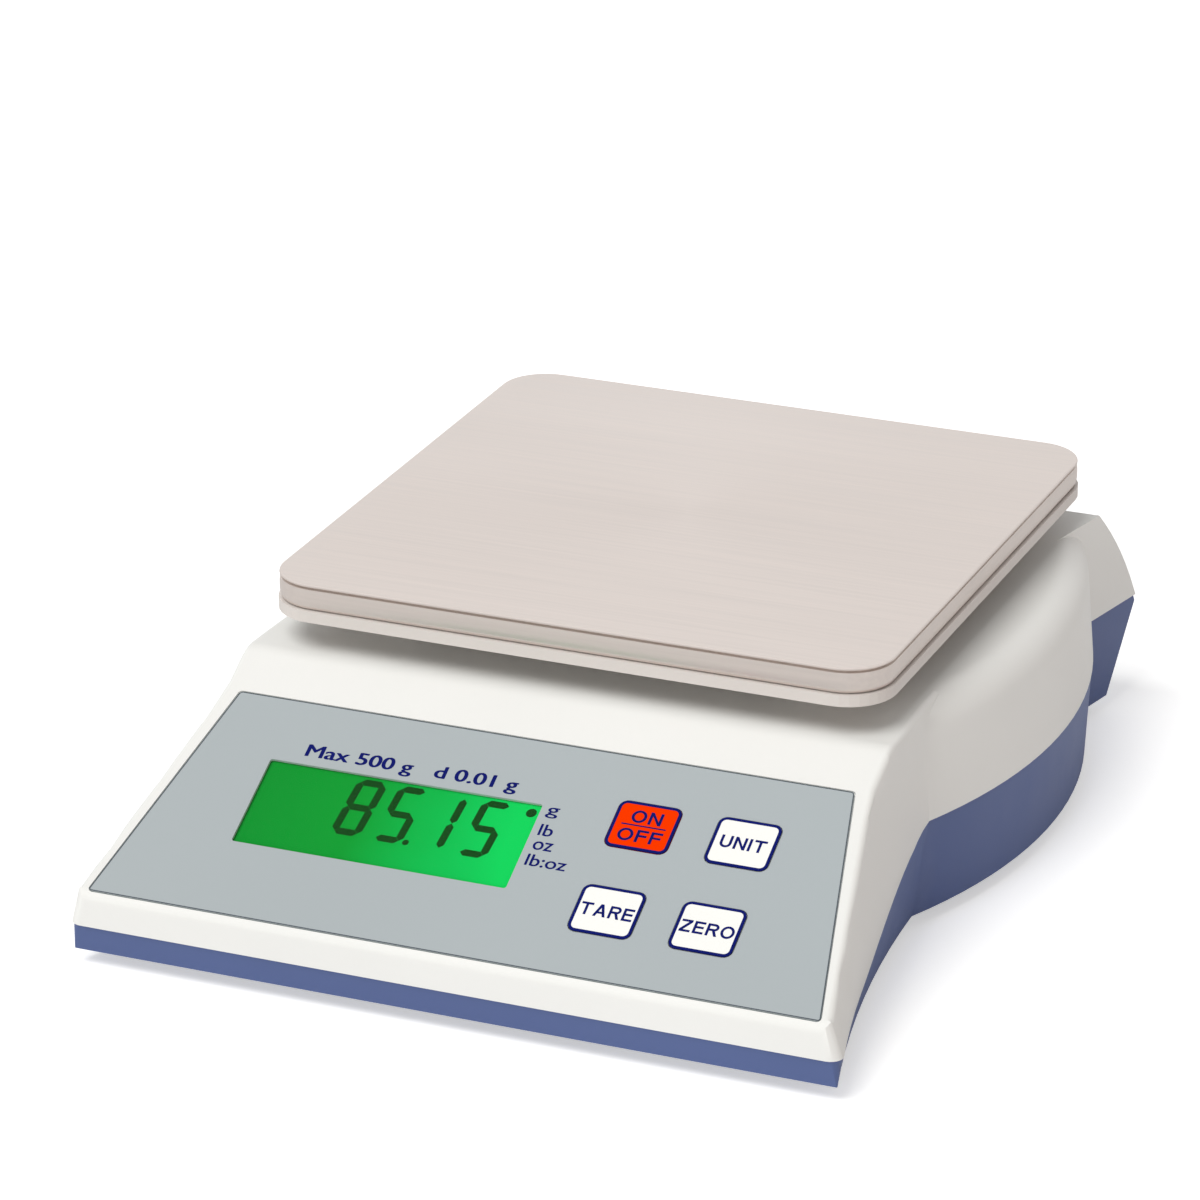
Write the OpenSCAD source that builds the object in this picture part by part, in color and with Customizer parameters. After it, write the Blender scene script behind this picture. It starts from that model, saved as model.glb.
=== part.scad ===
// Top loading balance, 500 g class, free standing on four levelling feet.
// Frame: x to the right, y to the back, z up; origin on the bench, under the middle of the body.

/* [Body] */
// Depth of the body, from the front edge to the rear
body_d = 232; // [226:1:240]
// Width of the body across its round sides
body_w = 179; // [176:1:186]
// Width of the front edge
front_w = 178; // [174:1:184]
// Radius of the front corners, seen from above
corner_r = 3; // [2.8:0.1:4]
// Width of the waist behind the keypad
waist_w = 150; // [148:1:154]
// Distance of the waist from the front edge
waist_back = 99; // [94:1:104]
// Radius of the round sides, seen from above
bulge_r = 146; // [140:1:152]
// Distance of the widest place from the front edge
bulge_back = 145.5; // [142:0.5:150]
// Width of the rear block at its rear edge
rear_w = 160; // [156:1:164]
// Plan slope of the rear block's sides, in mm per mm
rear_flare = 0.22; // [0.18:0.01:0.26]
// Radius of the rear block's back, seen from the side
rear_round = 90; // [70:1:110]
// How far the deck ends in front of the rear edge
rear_set_in = 19.2; // [17:0.2:21]
// How far the base runs in under the rear block
rear_undercut = 12; // [10:0.5:13]
// How far the base runs in under the front edge
front_undercut = 1; // [0.6:0.1:1.4]
// Height of the deck under the pan
deck_h = 52; // [51:0.5:54]
// Height of the widest line round the body
wide_h = 24; // [22:0.5:25]
// Inward lean of the sides above the widest line, in mm per mm
lean_up = 0.08; // [0.06:0.01:0.1]
// Outward lean of the round sides below that line, in mm per mm
lean_down = 0.05; // [0.03:0.01:0.07]
// Outward lean of the sides along the waist below that line, in mm per mm
waist_lean = 0.12; // [0.1:0.01:0.14]
// Height at which the sloping front meets the front edge
front_edge_h = 17.4; // [17:0.2:18.4]
// Slope of the front, in degrees
panel_slope = 27.8; // [27:0.2:28.6]
// Gap between the base and the bench
base_lift = 3; // [2.6:0.1:3.4]
// Wall thickness of both housings
wall = 2.5; // [2.3:0.1:2.8]
// Radius where the slope runs into the deck
shoulder_r = 8; // [6:0.5:10]
// Radius between the slope and the front edge
front_r = 3.2; // [3:0.1:3.6]
// Radius between the deck and the round sides
deck_edge_r = 8; // [6:0.5:9]

/* [Seam] */
// Height of the seam along the front
seam_front_h = 9.7; // [9.1:0.2:10.5]
// Height of the seam along the round sides and the rear
seam_rear_h = 25.7; // [25:0.1:26.4]
// Distance from the front edge at which the seam starts to rise
seam_rise_start = 32; // [28:1:36]
// Distance from the front edge at which it is level again
seam_rise_end = 88; // [84:1:94]
// How far the base stands in from the upper housing
seam_step = 0.4; // [0.3:0.05:0.5]
// Height of the tongue inside the seam
tongue_h = 2; // [1.6:0.1:2.4]
// Clearance round the tongue
tongue_gap = 0.1; // [0.08:0.01:0.15]

/* [Pan] */
// Width of the pan
pan_w = 145; // [142:1:148]
// Depth of the pan
pan_d = 147; // [143:1:148]
// Corner radius of the pan
pan_r = 11; // [9:0.5:14]
// Height of the pan's turned-down side
pan_side_h = 6; // [5.5:0.1:6.5]
// Thickness of the pan's sheet
pan_sheet = 0.8; // [0.6:0.1:1]
// Distance of the pan's centre from the front edge
pan_back = 140.5; // [139:0.5:142]
// Gap between the deck and the underside of the pan support
pan_clear = 7; // [6.5:0.1:8]
// Height of the support's visible lip
lip_h = 2.7; // [2.4:0.1:3]
// How far the lip stands proud of the pan's side
lip_proud = 0.3; // [0.2:0.05:0.5]
// Open seam between the pan's side and the lip
pan_seam = 0.3; // [0.3:0.05:0.5]
// Side clearance between pan and support
pan_side_gap = 0.5; // [0.4:0.05:0.7]
// Plate and skirt thickness of the support
support_t = 2.2; // [2:0.1:2.5]
// How far the rubber pads stand above the support
pad_proud = 1; // [0.8:0.1:1.2]
// Diameter of the rubber pads
pad_d = 11; // [9:0.5:13]

/* [Carrier and load cell] */
// Distance of each post from the pan's centre, across
post_x = 48; // [46:0.5:50]
// Distance of each post from the pan's centre, front to back
post_y = 46; // [44:0.5:48]
// Diameter of the posts
post_d = 9; // [8:0.2:10]
// Clearance round each post where it passes the deck
post_gap = 2.5; // [2.2:0.1:3]
// Height of the drip collars round the post holes
collar_h = 2.5; // [2:0.1:3]
// Length of the load cell
cell_l = 80; // [78:1:84]
// Width of the load cell
cell_w = 12.7; // [12:0.1:14]
// Height of the load cell
cell_h = 22; // [21:0.5:23]
// Diameter of the two holes that thin the cell's walls
cell_bore_d = 15; // [13:0.5:16]
// Distance between those holes
cell_bore_pitch = 26; // [25:0.5:28]
// Height of the load cell's underside above the bench
cell_z = 14; // [13.5:0.5:14.5]
// Distance between the two screws at each end of the cell
cell_screw_pitch = 12; // [11:0.5:13]
// Thickness of the block under the cell's fixed end
block_t = 5; // [4.5:0.5:6]
// Gap between the cell and the overload stop
stop_gap = 0.4; // [0.35:0.05:0.6]
// Thickness of the carrier's arms
arm_t = 3; // [2.5:0.5:3.5]
// Height of the carrier's hub under its arms
hub_h = 4.5; // [4:0.5:5]
// Height of the ribs on the carrier's arms
arm_rib_h = 2.5; // [2:0.5:3]

/* [Faceplate and keys] */
// Length of the faceplate, up the slope
plate_l = 59.5; // [59:0.5:60.5]
// Width of the faceplate at its lower edge
plate_bottom_w = 168.6; // [166:0.2:170]
// Width of the faceplate at its upper edge
plate_top_w = 144.4; // [143:0.2:146]
// Distance of the faceplate from the front edge, up the slope
plate_v = 1.4; // [1.2:0.1:1.8]
// Thickness of the faceplate
plate_t = 0.6; // [0.5:0.05:0.8]
// Clearance round the faceplate in its recess
plate_gap = 0.3; // [0.2:0.05:0.4]
// Corner radius of the faceplate
plate_r = 0.7; // [0.5:0.1:1.5]
// Width of the display window
window_w = 64.6; // [62:0.2:66]
// Height of the display window, up the slope
window_h = 23.4; // [22.8:0.2:25]
// Corner radius of the display window
window_r = 2.4; // [1.5:0.1:3]
// Sideways place of the display's centre
window_x = -25.7; // [-27:0.1:-25]
// Place of the display's centre up the slope, from the faceplate's lower edge
window_v = 31; // [30.5:0.1:31.5]
// Thickness of the clear window
lens_t = 1; // [0.8:0.1:1.2]
// Width of a key
key_w = 14.2; // [13.6:0.1:15]
// Height of a key, up the slope
key_h = 12.5; // [12:0.1:13.2]
// Corner radius of a key
key_r = 1.8; // [1.2:0.1:2.4]
// Sideways place of the keys' middle
keys_x = 41.8; // [41:0.1:42]
// Distance between the two columns of keys
keys_pitch_x = 22.8; // [22.2:0.1:23.2]
// Place of the keys' middle up the slope, from the faceplate's lower edge
keys_v = 29.5; // [29:0.1:30]
// Distance between the two rows of keys
keys_pitch_v = 23.3; // [22:0.1:24]
// How far a key stands proud of the faceplate
key_proud = 0.5; // [0.4:0.05:0.7]
// Clearance round a key
key_gap = 0.25; // [0.2:0.05:0.35]
// Travel of a key
key_travel = 0.5; // [0.4:0.05:0.6]

/* [Feet and fasteners] */
// Sideways place of the front feet
foot_front_x = 68; // [66:0.5:69]
// Distance of the front feet from the front edge
foot_front_back = 28; // [27:0.5:29]
// Sideways place of the rear feet
foot_rear_x = 62; // [60:0.5:63]
// Distance of the rear feet from the front edge
foot_rear_back = 200; // [198:0.5:201]
// Diameter of a foot's thumb wheel
wheel_d = 20; // [18:0.5:21]
// Height of the thumb wheel
wheel_h = 5; // [4.5:0.1:5.2]
// Diameter of the rubber sole
sole_d = 17; // [15:0.5:18]
// Thickness of the rubber sole
sole_t = 2.2; // [2:0.1:2.4]
// Diameter of a foot's stud
stud_d = 6; // [5.6:0.1:6.4]
// How far a foot can be screwed out
foot_out = 3; // [2.5:0.5:3.5]
// How far a foot can be screwed in
foot_in = 1; // [0.8:0.1:1.2]
// Running clearance of studs and screws in their threads, on the radius
thread_gap = 0.05; // [0.03:0.01:0.08]
// Diameter of the housing screws
screw_d = 3; // [2.8:0.1:3.2]
// Clearance of the housing screws in the base, on the radius
screw_gap = 0.2; // [0.15:0.05:0.3]

/* [Power and boards] */
// Diameter of a battery cell
cell_aa_d = 14.2; // [14:0.1:14.5]
// Length of a battery cell
cell_aa_l = 50.2; // [49.5:0.1:50.5]
// Gap between neighbouring battery cells
cell_aa_gap = 0.6; // [0.4:0.1:0.8]
// Thickness of the battery cover
cover_t = 2.4; // [2.2:0.1:2.6]
// Sliding clearance of the battery cover
cover_gap = 0.3; // [0.25:0.05:0.4]
// Width of the cover's side tongues
cover_tongue = 2; // [1.6:0.1:2.2]
// Bore of the power socket
socket_d = 5.6; // [5.5:0.1:6]
// Sideways place of the power socket
socket_x = 42; // [41:0.5:43]
// Height of the power socket
socket_z = 14; // [13.5:0.5:14.5]
// Thickness of the circuit boards
board_t = 1.6; // [1.2:0.2:1.8]
// Width of the main board
main_w = 110; // [104:1:112]
// Depth of the main board
main_d = 48; // [44:1:49]
// Diameter of the spirit level's cup
level_d = 15; // [14:0.5:17]

/* [Hidden] */
$fn = 96;

// overlap that joins two forms of one piece
eps = 0.2;
front_y = -body_d/2;
rear_y = body_d/2;
base_z = base_lift;
waist_y = front_y + waist_back;
bulge_y = front_y + bulge_back;
// the side of the front part is an arc that touches the waist and ends at the front edge
flare_dx = (front_w - waist_w)/2;
flare_r = (pow(flare_dx, 2) + pow(waist_back, 2))/(2*flare_dx);
// the back is an arc from the deck's rear edge down to the widest line
rear_rise = deck_h - wide_h;
rear_half = norm([rear_set_in, rear_rise])/2;
rear_reach = sqrt(pow(rear_round, 2) - pow(rear_half, 2));
rear_cy = rear_y - rear_set_in/2 - rear_reach*rear_rise/(2*rear_half);
rear_cz = wide_h + rear_rise/2 - rear_reach*rear_set_in/(2*rear_half);
rear_foot_y = rear_y - rear_undercut;
rear_lean = rear_undercut/(wide_h - base_z);

pan_y = front_y + pan_back;
support_z = deck_h + pan_clear;
pan_edge_z = support_z + lip_h + pan_seam;
pan_top = pan_edge_z + pan_side_h;
pan_under = pan_top - pan_sheet;
support_top = pan_under - pad_proud;

cell_top = cell_z + cell_h;
arm_z = cell_top + hub_h;
arm_top = arm_z + arm_t + arm_rib_h;
fixed_x = -cell_l/2 + 12;
free_x = cell_l/2 - 12;
cell_foot = 11;
post_top = support_z + 2.5;

function unit(v) = v/norm(v);
// points of an arc that rounds the corner p1 between p0 and p2
function fillet(p0, p1, p2, r, n = 6) = let(
    u = unit(p0 - p1), w = unit(p2 - p1), h = acos(u*w)/2,
    c = p1 + unit(u + w)*(r/sin(h)),
    a = p1 + u*(r/tan(h)) - c, b = p1 + w*(r/tan(h)) - c,
    a0 = atan2(a[1], a[0]), turn = (atan2(b[1], b[0]) - a0 + 540) % 360 - 180)
    [for (i = [0:n]) c + r*[cos(a0 + turn*i/n), sin(a0 + turn*i/n)]];
// an outline with every corner rounded
function rounded(p, r, n = 6) = let(m = len(p))
    [for (i = [0:m-1]) each fillet(p[(i + m - 1) % m], p[i], p[(i + 1) % m], r, n)];
function box_outline(w, d) = [[w/2, d/2], [-w/2, d/2], [-w/2, -d/2], [w/2, -d/2]];
function round_box(w, d, r, n = 6) = rounded(box_outline(w, d), r, n);

// turns an outline drawn in y and z into a bar along x
module along_x(half) {
    rotate([90, 0, 90]) translate([0, 0, -half]) linear_extrude(2*half) children();
}
module both_sides() {
    children();
    mirror([1, 0, 0]) children();
}
// puts what is drawn flat onto the sloping front: x across, y up the slope, z out of it
module on_panel() {
    translate([0, front_y, front_edge_h]) rotate([panel_slope, 0, 0]) children();
}
module at_window() {
    on_panel() translate([window_x, plate_v + window_v, 0]) children();
}

// Body form, inset by t: a side profile, and a plan of two round sides, a waist and a rear block
function profile(t) = let(
    s = panel_slope, y0 = front_y + t,
    ys = front_y + t*sin(s), zs = front_edge_h - t*cos(s),
    corner = [y0, zs + (y0 - ys)*tan(s)],
    shoulder = [ys + (deck_h - t - zs)/tan(s), deck_h - t],
    r = rear_round - t,
    a0 = asin((deck_h - t - rear_cz)/r), a1 = asin((wide_h - rear_cz)/r))
    concat([[y0 + front_undercut, base_z + t], [y0, seam_front_h]],
        fillet([y0, seam_front_h], corner, shoulder, front_r - t*0.9, 4),
        fillet(corner, shoulder, shoulder + [50, 0], shoulder_r - t, 6),
        [for (i = [0:8]) let(a = a0 + (a1 - a0)*i/8) [rear_cy + r*cos(a), rear_cz + r*sin(a)]],
        [[rear_foot_y + t*rear_lean - t*sqrt(1 + rear_lean*rear_lean), base_z + t]]);

// one round side as a wide disc, whose upper edge is rounded into the deck
module bulge_disc(t) {
    r = body_w/2 + (bulge_r - body_w/2) - t;
    zc = deck_h - deck_edge_r;
    rc = bulge_r - lean_up*(zc - wide_h) - deck_edge_r;
    edge = deck_edge_r - t;
    translate([body_w/2 - bulge_r, bulge_y, 0]) rotate_extrude($fn = 360)
        polygon(concat(
            [[0, 0], [r - lean_down*wide_h, 0], [r, wide_h]],
            [for (i = [0:6]) [rc + edge*cos(15*i), zc + edge*sin(15*i)]],
            [[0, deck_h - t]]));
}
// the hollow beside the waist
module flare_cut(t) {
    r = flare_r + t;
    near = r - waist_lean*(wide_h - base_z);
    top = deck_h + 2;
    translate([waist_w/2 + flare_r, waist_y, 0]) rotate_extrude($fn = 720) polygon([[0, -1],
        [r + waist_lean*(base_z + 1), -1], [near, wide_h], [near + lean_up*(top - wide_h), top], [0, top]]);
}
module plan_form(t) {
    intersection() {
        bulge_disc(t);
        mirror([1, 0, 0]) bulge_disc(t);
    }
    corner = max(corner_r - t, 0.3);
    difference() {
        translate([0, 0, -0.5]) linear_extrude(deck_h + 2) polygon(concat(
            fillet([front_w/2 - t, waist_y], [front_w/2 - t, front_y + t], [0, front_y + t], corner),
            fillet([0, front_y + t], [t - front_w/2, front_y + t], [t - front_w/2, waist_y], corner),
            [[t - front_w/2, waist_y], [front_w/2 - t, waist_y]]));
        both_sides() flare_cut(t);
    }
    side = rear_w/2 - t*sqrt(1 + rear_flare*rear_flare);
    near = pan_y + 30;
    far = rear_y + 1;
    translate([0, 0, -0.5]) linear_extrude(deck_h + 2) polygon([
        [-side + rear_flare*(rear_y - near), near], [side - rear_flare*(rear_y - near), near],
        [side + rear_flare, far], [-side - rear_flare, far]]);
}
module body_form(t = 0) {
    intersection() {
        along_x(front_w) polygon(profile(t));
        plan_form(t);
    }
}

// Seam between the housings, raised by dz
seam_y0 = front_y + seam_rise_start;
seam_y1 = front_y + seam_rise_end;
function seam_z(y) = let(u = min(max((y - seam_y0)/(seam_y1 - seam_y0), 0), 1))
    seam_front_h + (seam_rear_h - seam_front_h)*(1 - cos(180*u))/2;
function seam_line(dz) = concat([[-body_d, seam_z(-body_d) + dz]],
    [for (i = [0:12]) let(y = seam_y0 + (seam_y1 - seam_y0)*i/12) [y, seam_z(y) + dz]],
    [[body_d, seam_z(body_d) + dz]]);
module above_seam(dz = 0) {
    along_x(front_w) polygon(concat(seam_line(dz), [[body_d, 2*deck_h], [-body_d, 2*deck_h]]));
}
module below_seam(dz = 0) {
    along_x(front_w) polygon(concat(seam_line(dz), [[body_d, -deck_h], [-body_d, -deck_h]]));
}

// Housing screws: a column of the base meets a boss of the upper housing
screw_places = [[77, front_y + 12], [68, front_y + 67], [68, front_y + 176]];
join_rise = 3;
column_d = 9;
boss_d = 8;
screw_head_d = 5.6;
screw_head_h = 2.2;
seat_under = 2.5;
screw_bite = 6.5;
module at_screws() {
    for (p = screw_places, side = [-1, 1]) translate([side*p[0], p[1], 0]) children();
}

// Post holes of the deck
collar_wall = 2;
hole_d = post_d + 2*post_gap;
module at_posts() {
    for (sx = [-1, 1], sy = [-1, 1]) translate([sx*post_x, pan_y + sy*post_y, 0]) children();
}

// Levels of the display stack, measured out of the slope
wall_in = -wall;
lens_z = -plate_t - lens_t;
glass_t = 2.2;
light_t = 3;
glass_z = wall_in - 0.2 - glass_t;
light_z = glass_z - light_t;
board_z = light_z - 1.2 - board_t;
glass_margin = 3;
frame_wall = 1.8;
lens_margin = 1.5;
board_pins = [[-61, 7], [-61, 56], [61.5, 7], [61.5, 56]];
pin_boss_d = 6;
pin_screw_d = 2.2;
pin_bite = 5;

key_names = ["on_off", "unit", "tare", "zero"];
function key_place(i) = [keys_x + (i % 2 == 0 ? -1 : 1)*keys_pitch_x/2,
    plate_v + keys_v + (i < 2 ? 1 : -1)*keys_pitch_v/2];
module at_key(i) {
    on_panel() translate([key_place(i)[0], key_place(i)[1], 0]) children();
}

level_y = front_y + 106;
level_gap = 0.15;

module upper_housing() color("whitesmoke") {
    difference() {
        union() {
            difference() {
                intersection() {
                    body_form();
                    above_seam();
                }
                body_form(wall);
                intersection() {
                    body_form(wall/2);
                    below_seam(tongue_h + tongue_gap);
                }
            }
            // bosses, trimmed by the inside of the roof
            intersection() {
                body_form(wall - eps);
                union() {
                    for (p = screw_places, side = [-1, 1])
                        translate([side*p[0], p[1], seam_z(p[1]) + join_rise])
                            cylinder(d = boss_d, h = deck_h);
                    on_panel() for (p = board_pins)
                        translate([p[0], plate_v + p[1], board_z + board_t])
                            cylinder(d = pin_boss_d, h = -board_z);
                }
            }
            at_posts() translate([0, 0, deck_h - wall/2])
                cylinder(d = hole_d + 2*collar_wall, h = collar_h + wall/2);
        }
        for (p = screw_places, side = [-1, 1])
            translate([side*p[0], p[1], seam_z(p[1])])
                cylinder(r = screw_d/2 + thread_gap, h = join_rise + screw_bite + 0.5);
        at_posts() translate([0, 0, deck_h - 2*wall]) cylinder(d = hole_d, h = 3*wall + collar_h);
        translate([0, level_y, deck_h - 2*wall]) cylinder(r = level_d/2 + level_gap, h = 3*wall);
        on_panel() {
            for (p = board_pins) translate([p[0], plate_v + p[1], board_z])
                cylinder(r = pin_screw_d/2 + thread_gap, h = board_t + pin_bite + 0.4);
            translate([0, plate_v, -plate_t]) linear_extrude(plate_t + 1)
                polygon(plate_outline(plate_gap));
        }
        at_window() {
            translate([0, 0, lens_z]) linear_extrude(lens_t + plate_t)
                polygon(round_box(window_w + 2*lens_margin + 2*plate_gap,
                    window_h + 2*lens_margin + 2*plate_gap, window_r + lens_margin, 5));
            translate([0, 0, -2*wall]) linear_extrude(2*wall + 1)
                polygon(round_box(window_w, window_h, window_r, 5));
        }
        for (i = [0:3]) at_key(i) translate([0, 0, -2*wall]) linear_extrude(2*wall + 1)
            polygon(round_box(key_w + 2*key_gap, key_h + 2*key_gap, key_r + key_gap, 4));
    }
}

function plate_outline(grow = 0) = rounded([
    [-plate_bottom_w/2 - grow, -grow], [plate_bottom_w/2 + grow, -grow],
    [plate_top_w/2 + grow, plate_l + grow], [-plate_top_w/2 - grow, plate_l + grow]],
    plate_r + grow, 5);

module faceplate() color("lightsteelblue") on_panel() difference() {
    translate([0, plate_v, -plate_t]) linear_extrude(plate_t) polygon(plate_outline());
    translate([window_x, plate_v + window_v, -1]) linear_extrude(2)
        polygon(round_box(window_w, window_h, window_r, 5));
    for (i = [0:3]) translate([key_place(i)[0], key_place(i)[1], -1]) linear_extrude(2)
        polygon(round_box(key_w + 2*key_gap, key_h + 2*key_gap, key_r + key_gap, 4));
}

module display_window() color("lightcyan", 0.4) at_window() translate([0, 0, lens_z])
    linear_extrude(lens_t) polygon(round_box(window_w + 2*lens_margin, window_h + 2*lens_margin,
        window_r + lens_margin - plate_gap, 5));

module lcd_glass() color("mediumseagreen") at_window()
    translate([-window_w/2 - glass_margin, -window_h/2 - glass_margin, glass_z])
        cube([window_w + 2*glass_margin, window_h + 2*glass_margin, glass_t]);

module lcd_backlight() color("honeydew") at_window() {
    w = window_w + 2*glass_margin - 1;
    h = window_h + 2*glass_margin - 1;
    translate([-w/2, -h/2, light_z]) cube([w, h, light_t]);
    // feet that stand on the board
    for (sx = [-1, 1], sy = [-1, 1]) translate([sx*(w/2 - 4), sy*(h/2 - 4), board_z + board_t])
        cylinder(d = 3, h = light_z - board_z - board_t + eps);
}

module lcd_frame() color("dimgray") at_window() {
    w = window_w + 2*glass_margin + 0.6;
    h = window_h + 2*glass_margin + 0.6;
    translate([0, 0, board_z + board_t]) difference() {
        linear_extrude(wall_in - board_z - board_t)
            polygon(round_box(w + 2*frame_wall, h + 2*frame_wall, 2, 3));
        translate([-w/2, -h/2, -1]) cube([w, h, 20]);
        // springy cut-outs half way along the long sides
        for (sx = [-1, 1]) translate([sx*w/4 - 5, -h, -1]) cube([10, 2*h, 3]);
    }
}

display_x0 = -64.5;
display_x1 = 64.5;
display_v0 = 3.5;
display_v1 = 59.5;
module display_board() color("seagreen") difference() {
    on_panel() difference() {
        translate([display_x0, plate_v + display_v0, board_z])
            cube([display_x1 - display_x0, display_v1 - display_v0, board_t]);
        for (p = board_pins) translate([p[0], plate_v + p[1], board_z - 1])
            cylinder(r = pin_screw_d/2 + screw_gap, h = board_t + 2);
    }
    // clear of the bosses over the front feet
    for (i = [0, 1]) at_foot(i) cylinder(d = insert_boss_d + 1.5, h = deck_h);
}

module display_board_screws() color("silver") on_panel()
    for (p = board_pins) translate([p[0], plate_v + p[1], board_z]) {
        translate([0, 0, -1.6]) cylinder(d = 4.2, h = 1.6);
        translate([0, 0, -eps]) cylinder(d = pin_screw_d, h = board_t + pin_bite + eps);
    }

// A key: cap, flange behind the wall, stem on the switch's plunger
flange_t = 1.2;
flange_w = 1.2;
switch_w = 6;
switch_h = 3.5;
plunger_d = 3.4;
plunger_out = 0.6;
switch_top = board_z + board_t + switch_h;
stem_end = switch_top + plunger_out;
module key_cap(i) at_key(i) {
    translate([0, 0, wall_in - flange_t/2]) linear_extrude(-wall_in + flange_t/2 + key_proud)
        polygon(round_box(key_w, key_h, key_r, 4));
    translate([0, 0, wall_in - flange_t]) linear_extrude(flange_t)
        polygon(round_box(key_w + 2*flange_w, key_h + 2*flange_w, key_r, 3));
    translate([0, 0, stem_end]) cylinder(d = 5, h = wall_in - flange_t/2 - stem_end);
}
module key_on_off() color("orangered") key_cap(0);
module key_unit() color("white") key_cap(1);
module key_tare() color("white") key_cap(2);
module key_zero() color("white") key_cap(3);

plunger_in = 1;
module plunger(i) color("black") at_key(i) translate([0, 0, switch_top - plunger_in])
    cylinder(d = plunger_d, h = plunger_in + plunger_out);

module plunger_on_off() plunger(0);
module plunger_unit() plunger(1);
module plunger_tare() plunger(2);
module plunger_zero() plunger(3);

module tact_switches() color("silver") for (i = [0:3]) at_key(i)
    translate([0, 0, board_z + board_t]) difference() {
        translate([-switch_w/2, -switch_w/2, 0]) cube([switch_w, switch_w, switch_h]);
        translate([0, 0, switch_h - plunger_in - key_travel - 0.2])
            cylinder(r = plunger_d/2 + 0.1, h = switch_h);
    }

// Main board on four bosses of the base
main_y = front_y + 98;
main_z = base_z + wall + 5;
main_pins = [for (sx = [-1, 1], sy = [-1, 1]) [sx*(main_w/2 - 5), main_y + sy*(main_d/2 - 5)]];
main_boss_d = 6.5;
socket_h = 5.5;
cell_socket_x = -35;
power_socket_x = 39;
module main_board() color("seagreen") difference() {
    translate([-main_w/2, main_y - main_d/2, main_z]) cube([main_w, main_d, board_t]);
    for (p = main_pins) translate([p[0], p[1], main_z - 1])
        cylinder(r = pin_screw_d/2 + screw_gap, h = board_t + 2);
}
module main_board_screws() color("silver") for (p = main_pins)
    translate([p[0], p[1], main_z + board_t]) {
        cylinder(d = 4.2, h = 1.6);
        translate([0, 0, -board_t - 4]) cylinder(d = pin_screw_d, h = board_t + 4 + eps);
    }
module main_board_parts() color("black") translate([0, main_y, main_z + board_t]) {
    // controller, memory, regulator with its heat tab, and a row of capacitors
    translate([-10, -8, 0]) cube([14, 14, 1.6]);
    translate([12, 4, 0]) cube([8, 5, 1.4]);
    translate([34, -12, 0]) cube([10, 9, 4.4]);
    for (i = [0:2]) translate([28 + 8*i, 10, 0]) cylinder(d = 6.3, h = 7);
    // sockets for the ribbon and for the leads of the load cell, the battery and the power socket
    translate([-14, -main_d/2 + 1, 0]) cube([28, 5, socket_h]);
    translate([cell_socket_x - 5, main_d/2 - 8, 0]) cube([10, 6, socket_h]);
    translate([1.5*cell_pitch - 5.2, main_d/2 - 8, 0]) cube([8, 6, socket_h]);
    translate([power_socket_x - 4, main_d/2 - 8, 0]) cube([8, 6, socket_h]);
}
module adc_shield() color("silver") translate([-32, main_y, main_z + board_t]) difference() {
    linear_extrude(5) polygon(round_box(26, 22, 1.5, 3));
    translate([0, 0, -1]) linear_extrude(5.6) polygon(round_box(25, 21, 1, 3));
    for (x = [-8, 0, 8]) translate([x, 0, 3]) cylinder(d = 3, h = 3);
}

// One edge of a strip of width w along a path, with mitred corners; a negative w gives the other
function edge(p, w) = [for (i = [0:len(p) - 1]) let(
    a = unit(p[max(i, 1)] - p[max(i, 1) - 1]),
    b = unit(p[min(i + 1, len(p) - 1)] - p[min(i, len(p) - 2)]),
    n = unit([-a[1] - b[1], a[0] + b[0]]))
    p[i] + n*w/(2*(n*[-a[1], a[0]]))];
module strip(p, w) {
    far = edge(p, -w);
    polygon(concat(edge(p, w), [for (i = [len(p) - 1:-1:0]) far[i]]));
}
// Flat ribbon from the display board down to the main board
ribbon_w = 22;
ribbon_t = 0.8;
module display_ribbon() color("lightgray") {
    s = panel_slope;
    v = plate_v + display_v1 - 8;
    top = [front_y + v*cos(s) - board_z*sin(s),
        front_edge_h + v*sin(s) + board_z*cos(s) - ribbon_t/2*tan(s) - 0.05];
    low = [main_y - main_d/2 + 3.5, main_z + board_t + socket_h];
    along_x(ribbon_w/2) strip([top, top - [0, 8], low + [0, 6], low], ribbon_t);
}

// Load cell: a bar whose middle is thinned by two joined holes
module load_cell() color("lightgray") translate([0, pan_y, cell_z]) difference() {
    translate([-cell_l/2, -cell_w/2, 0]) cube([cell_l, cell_w, cell_h]);
    for (sx = [-1, 1]) translate([sx*cell_bore_pitch/2, cell_w, cell_h/2])
        rotate([90, 0, 0]) cylinder(d = cell_bore_d, h = 2*cell_w);
    translate([-cell_bore_pitch/2, -cell_w, cell_h/2 - 2.5]) cube([cell_bore_pitch, 2*cell_w, 5]);
    for (s = [-1, 1]) {
        translate([fixed_x + s*cell_screw_pitch/2, 0, -1]) cylinder(r = 2 + thread_gap, h = 11);
        translate([free_x + s*cell_screw_pitch/2, 0, cell_h - 10]) cylinder(r = 2 + thread_gap, h = 11);
    }
}
module gauge_coating() color("ivory") for (z = [cell_top, cell_z - 0.8])
    translate([0, pan_y, z]) linear_extrude(0.8)
        polygon(round_box(2*(free_x - cell_foot - 1), cell_w - 3, 3, 4));

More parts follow.
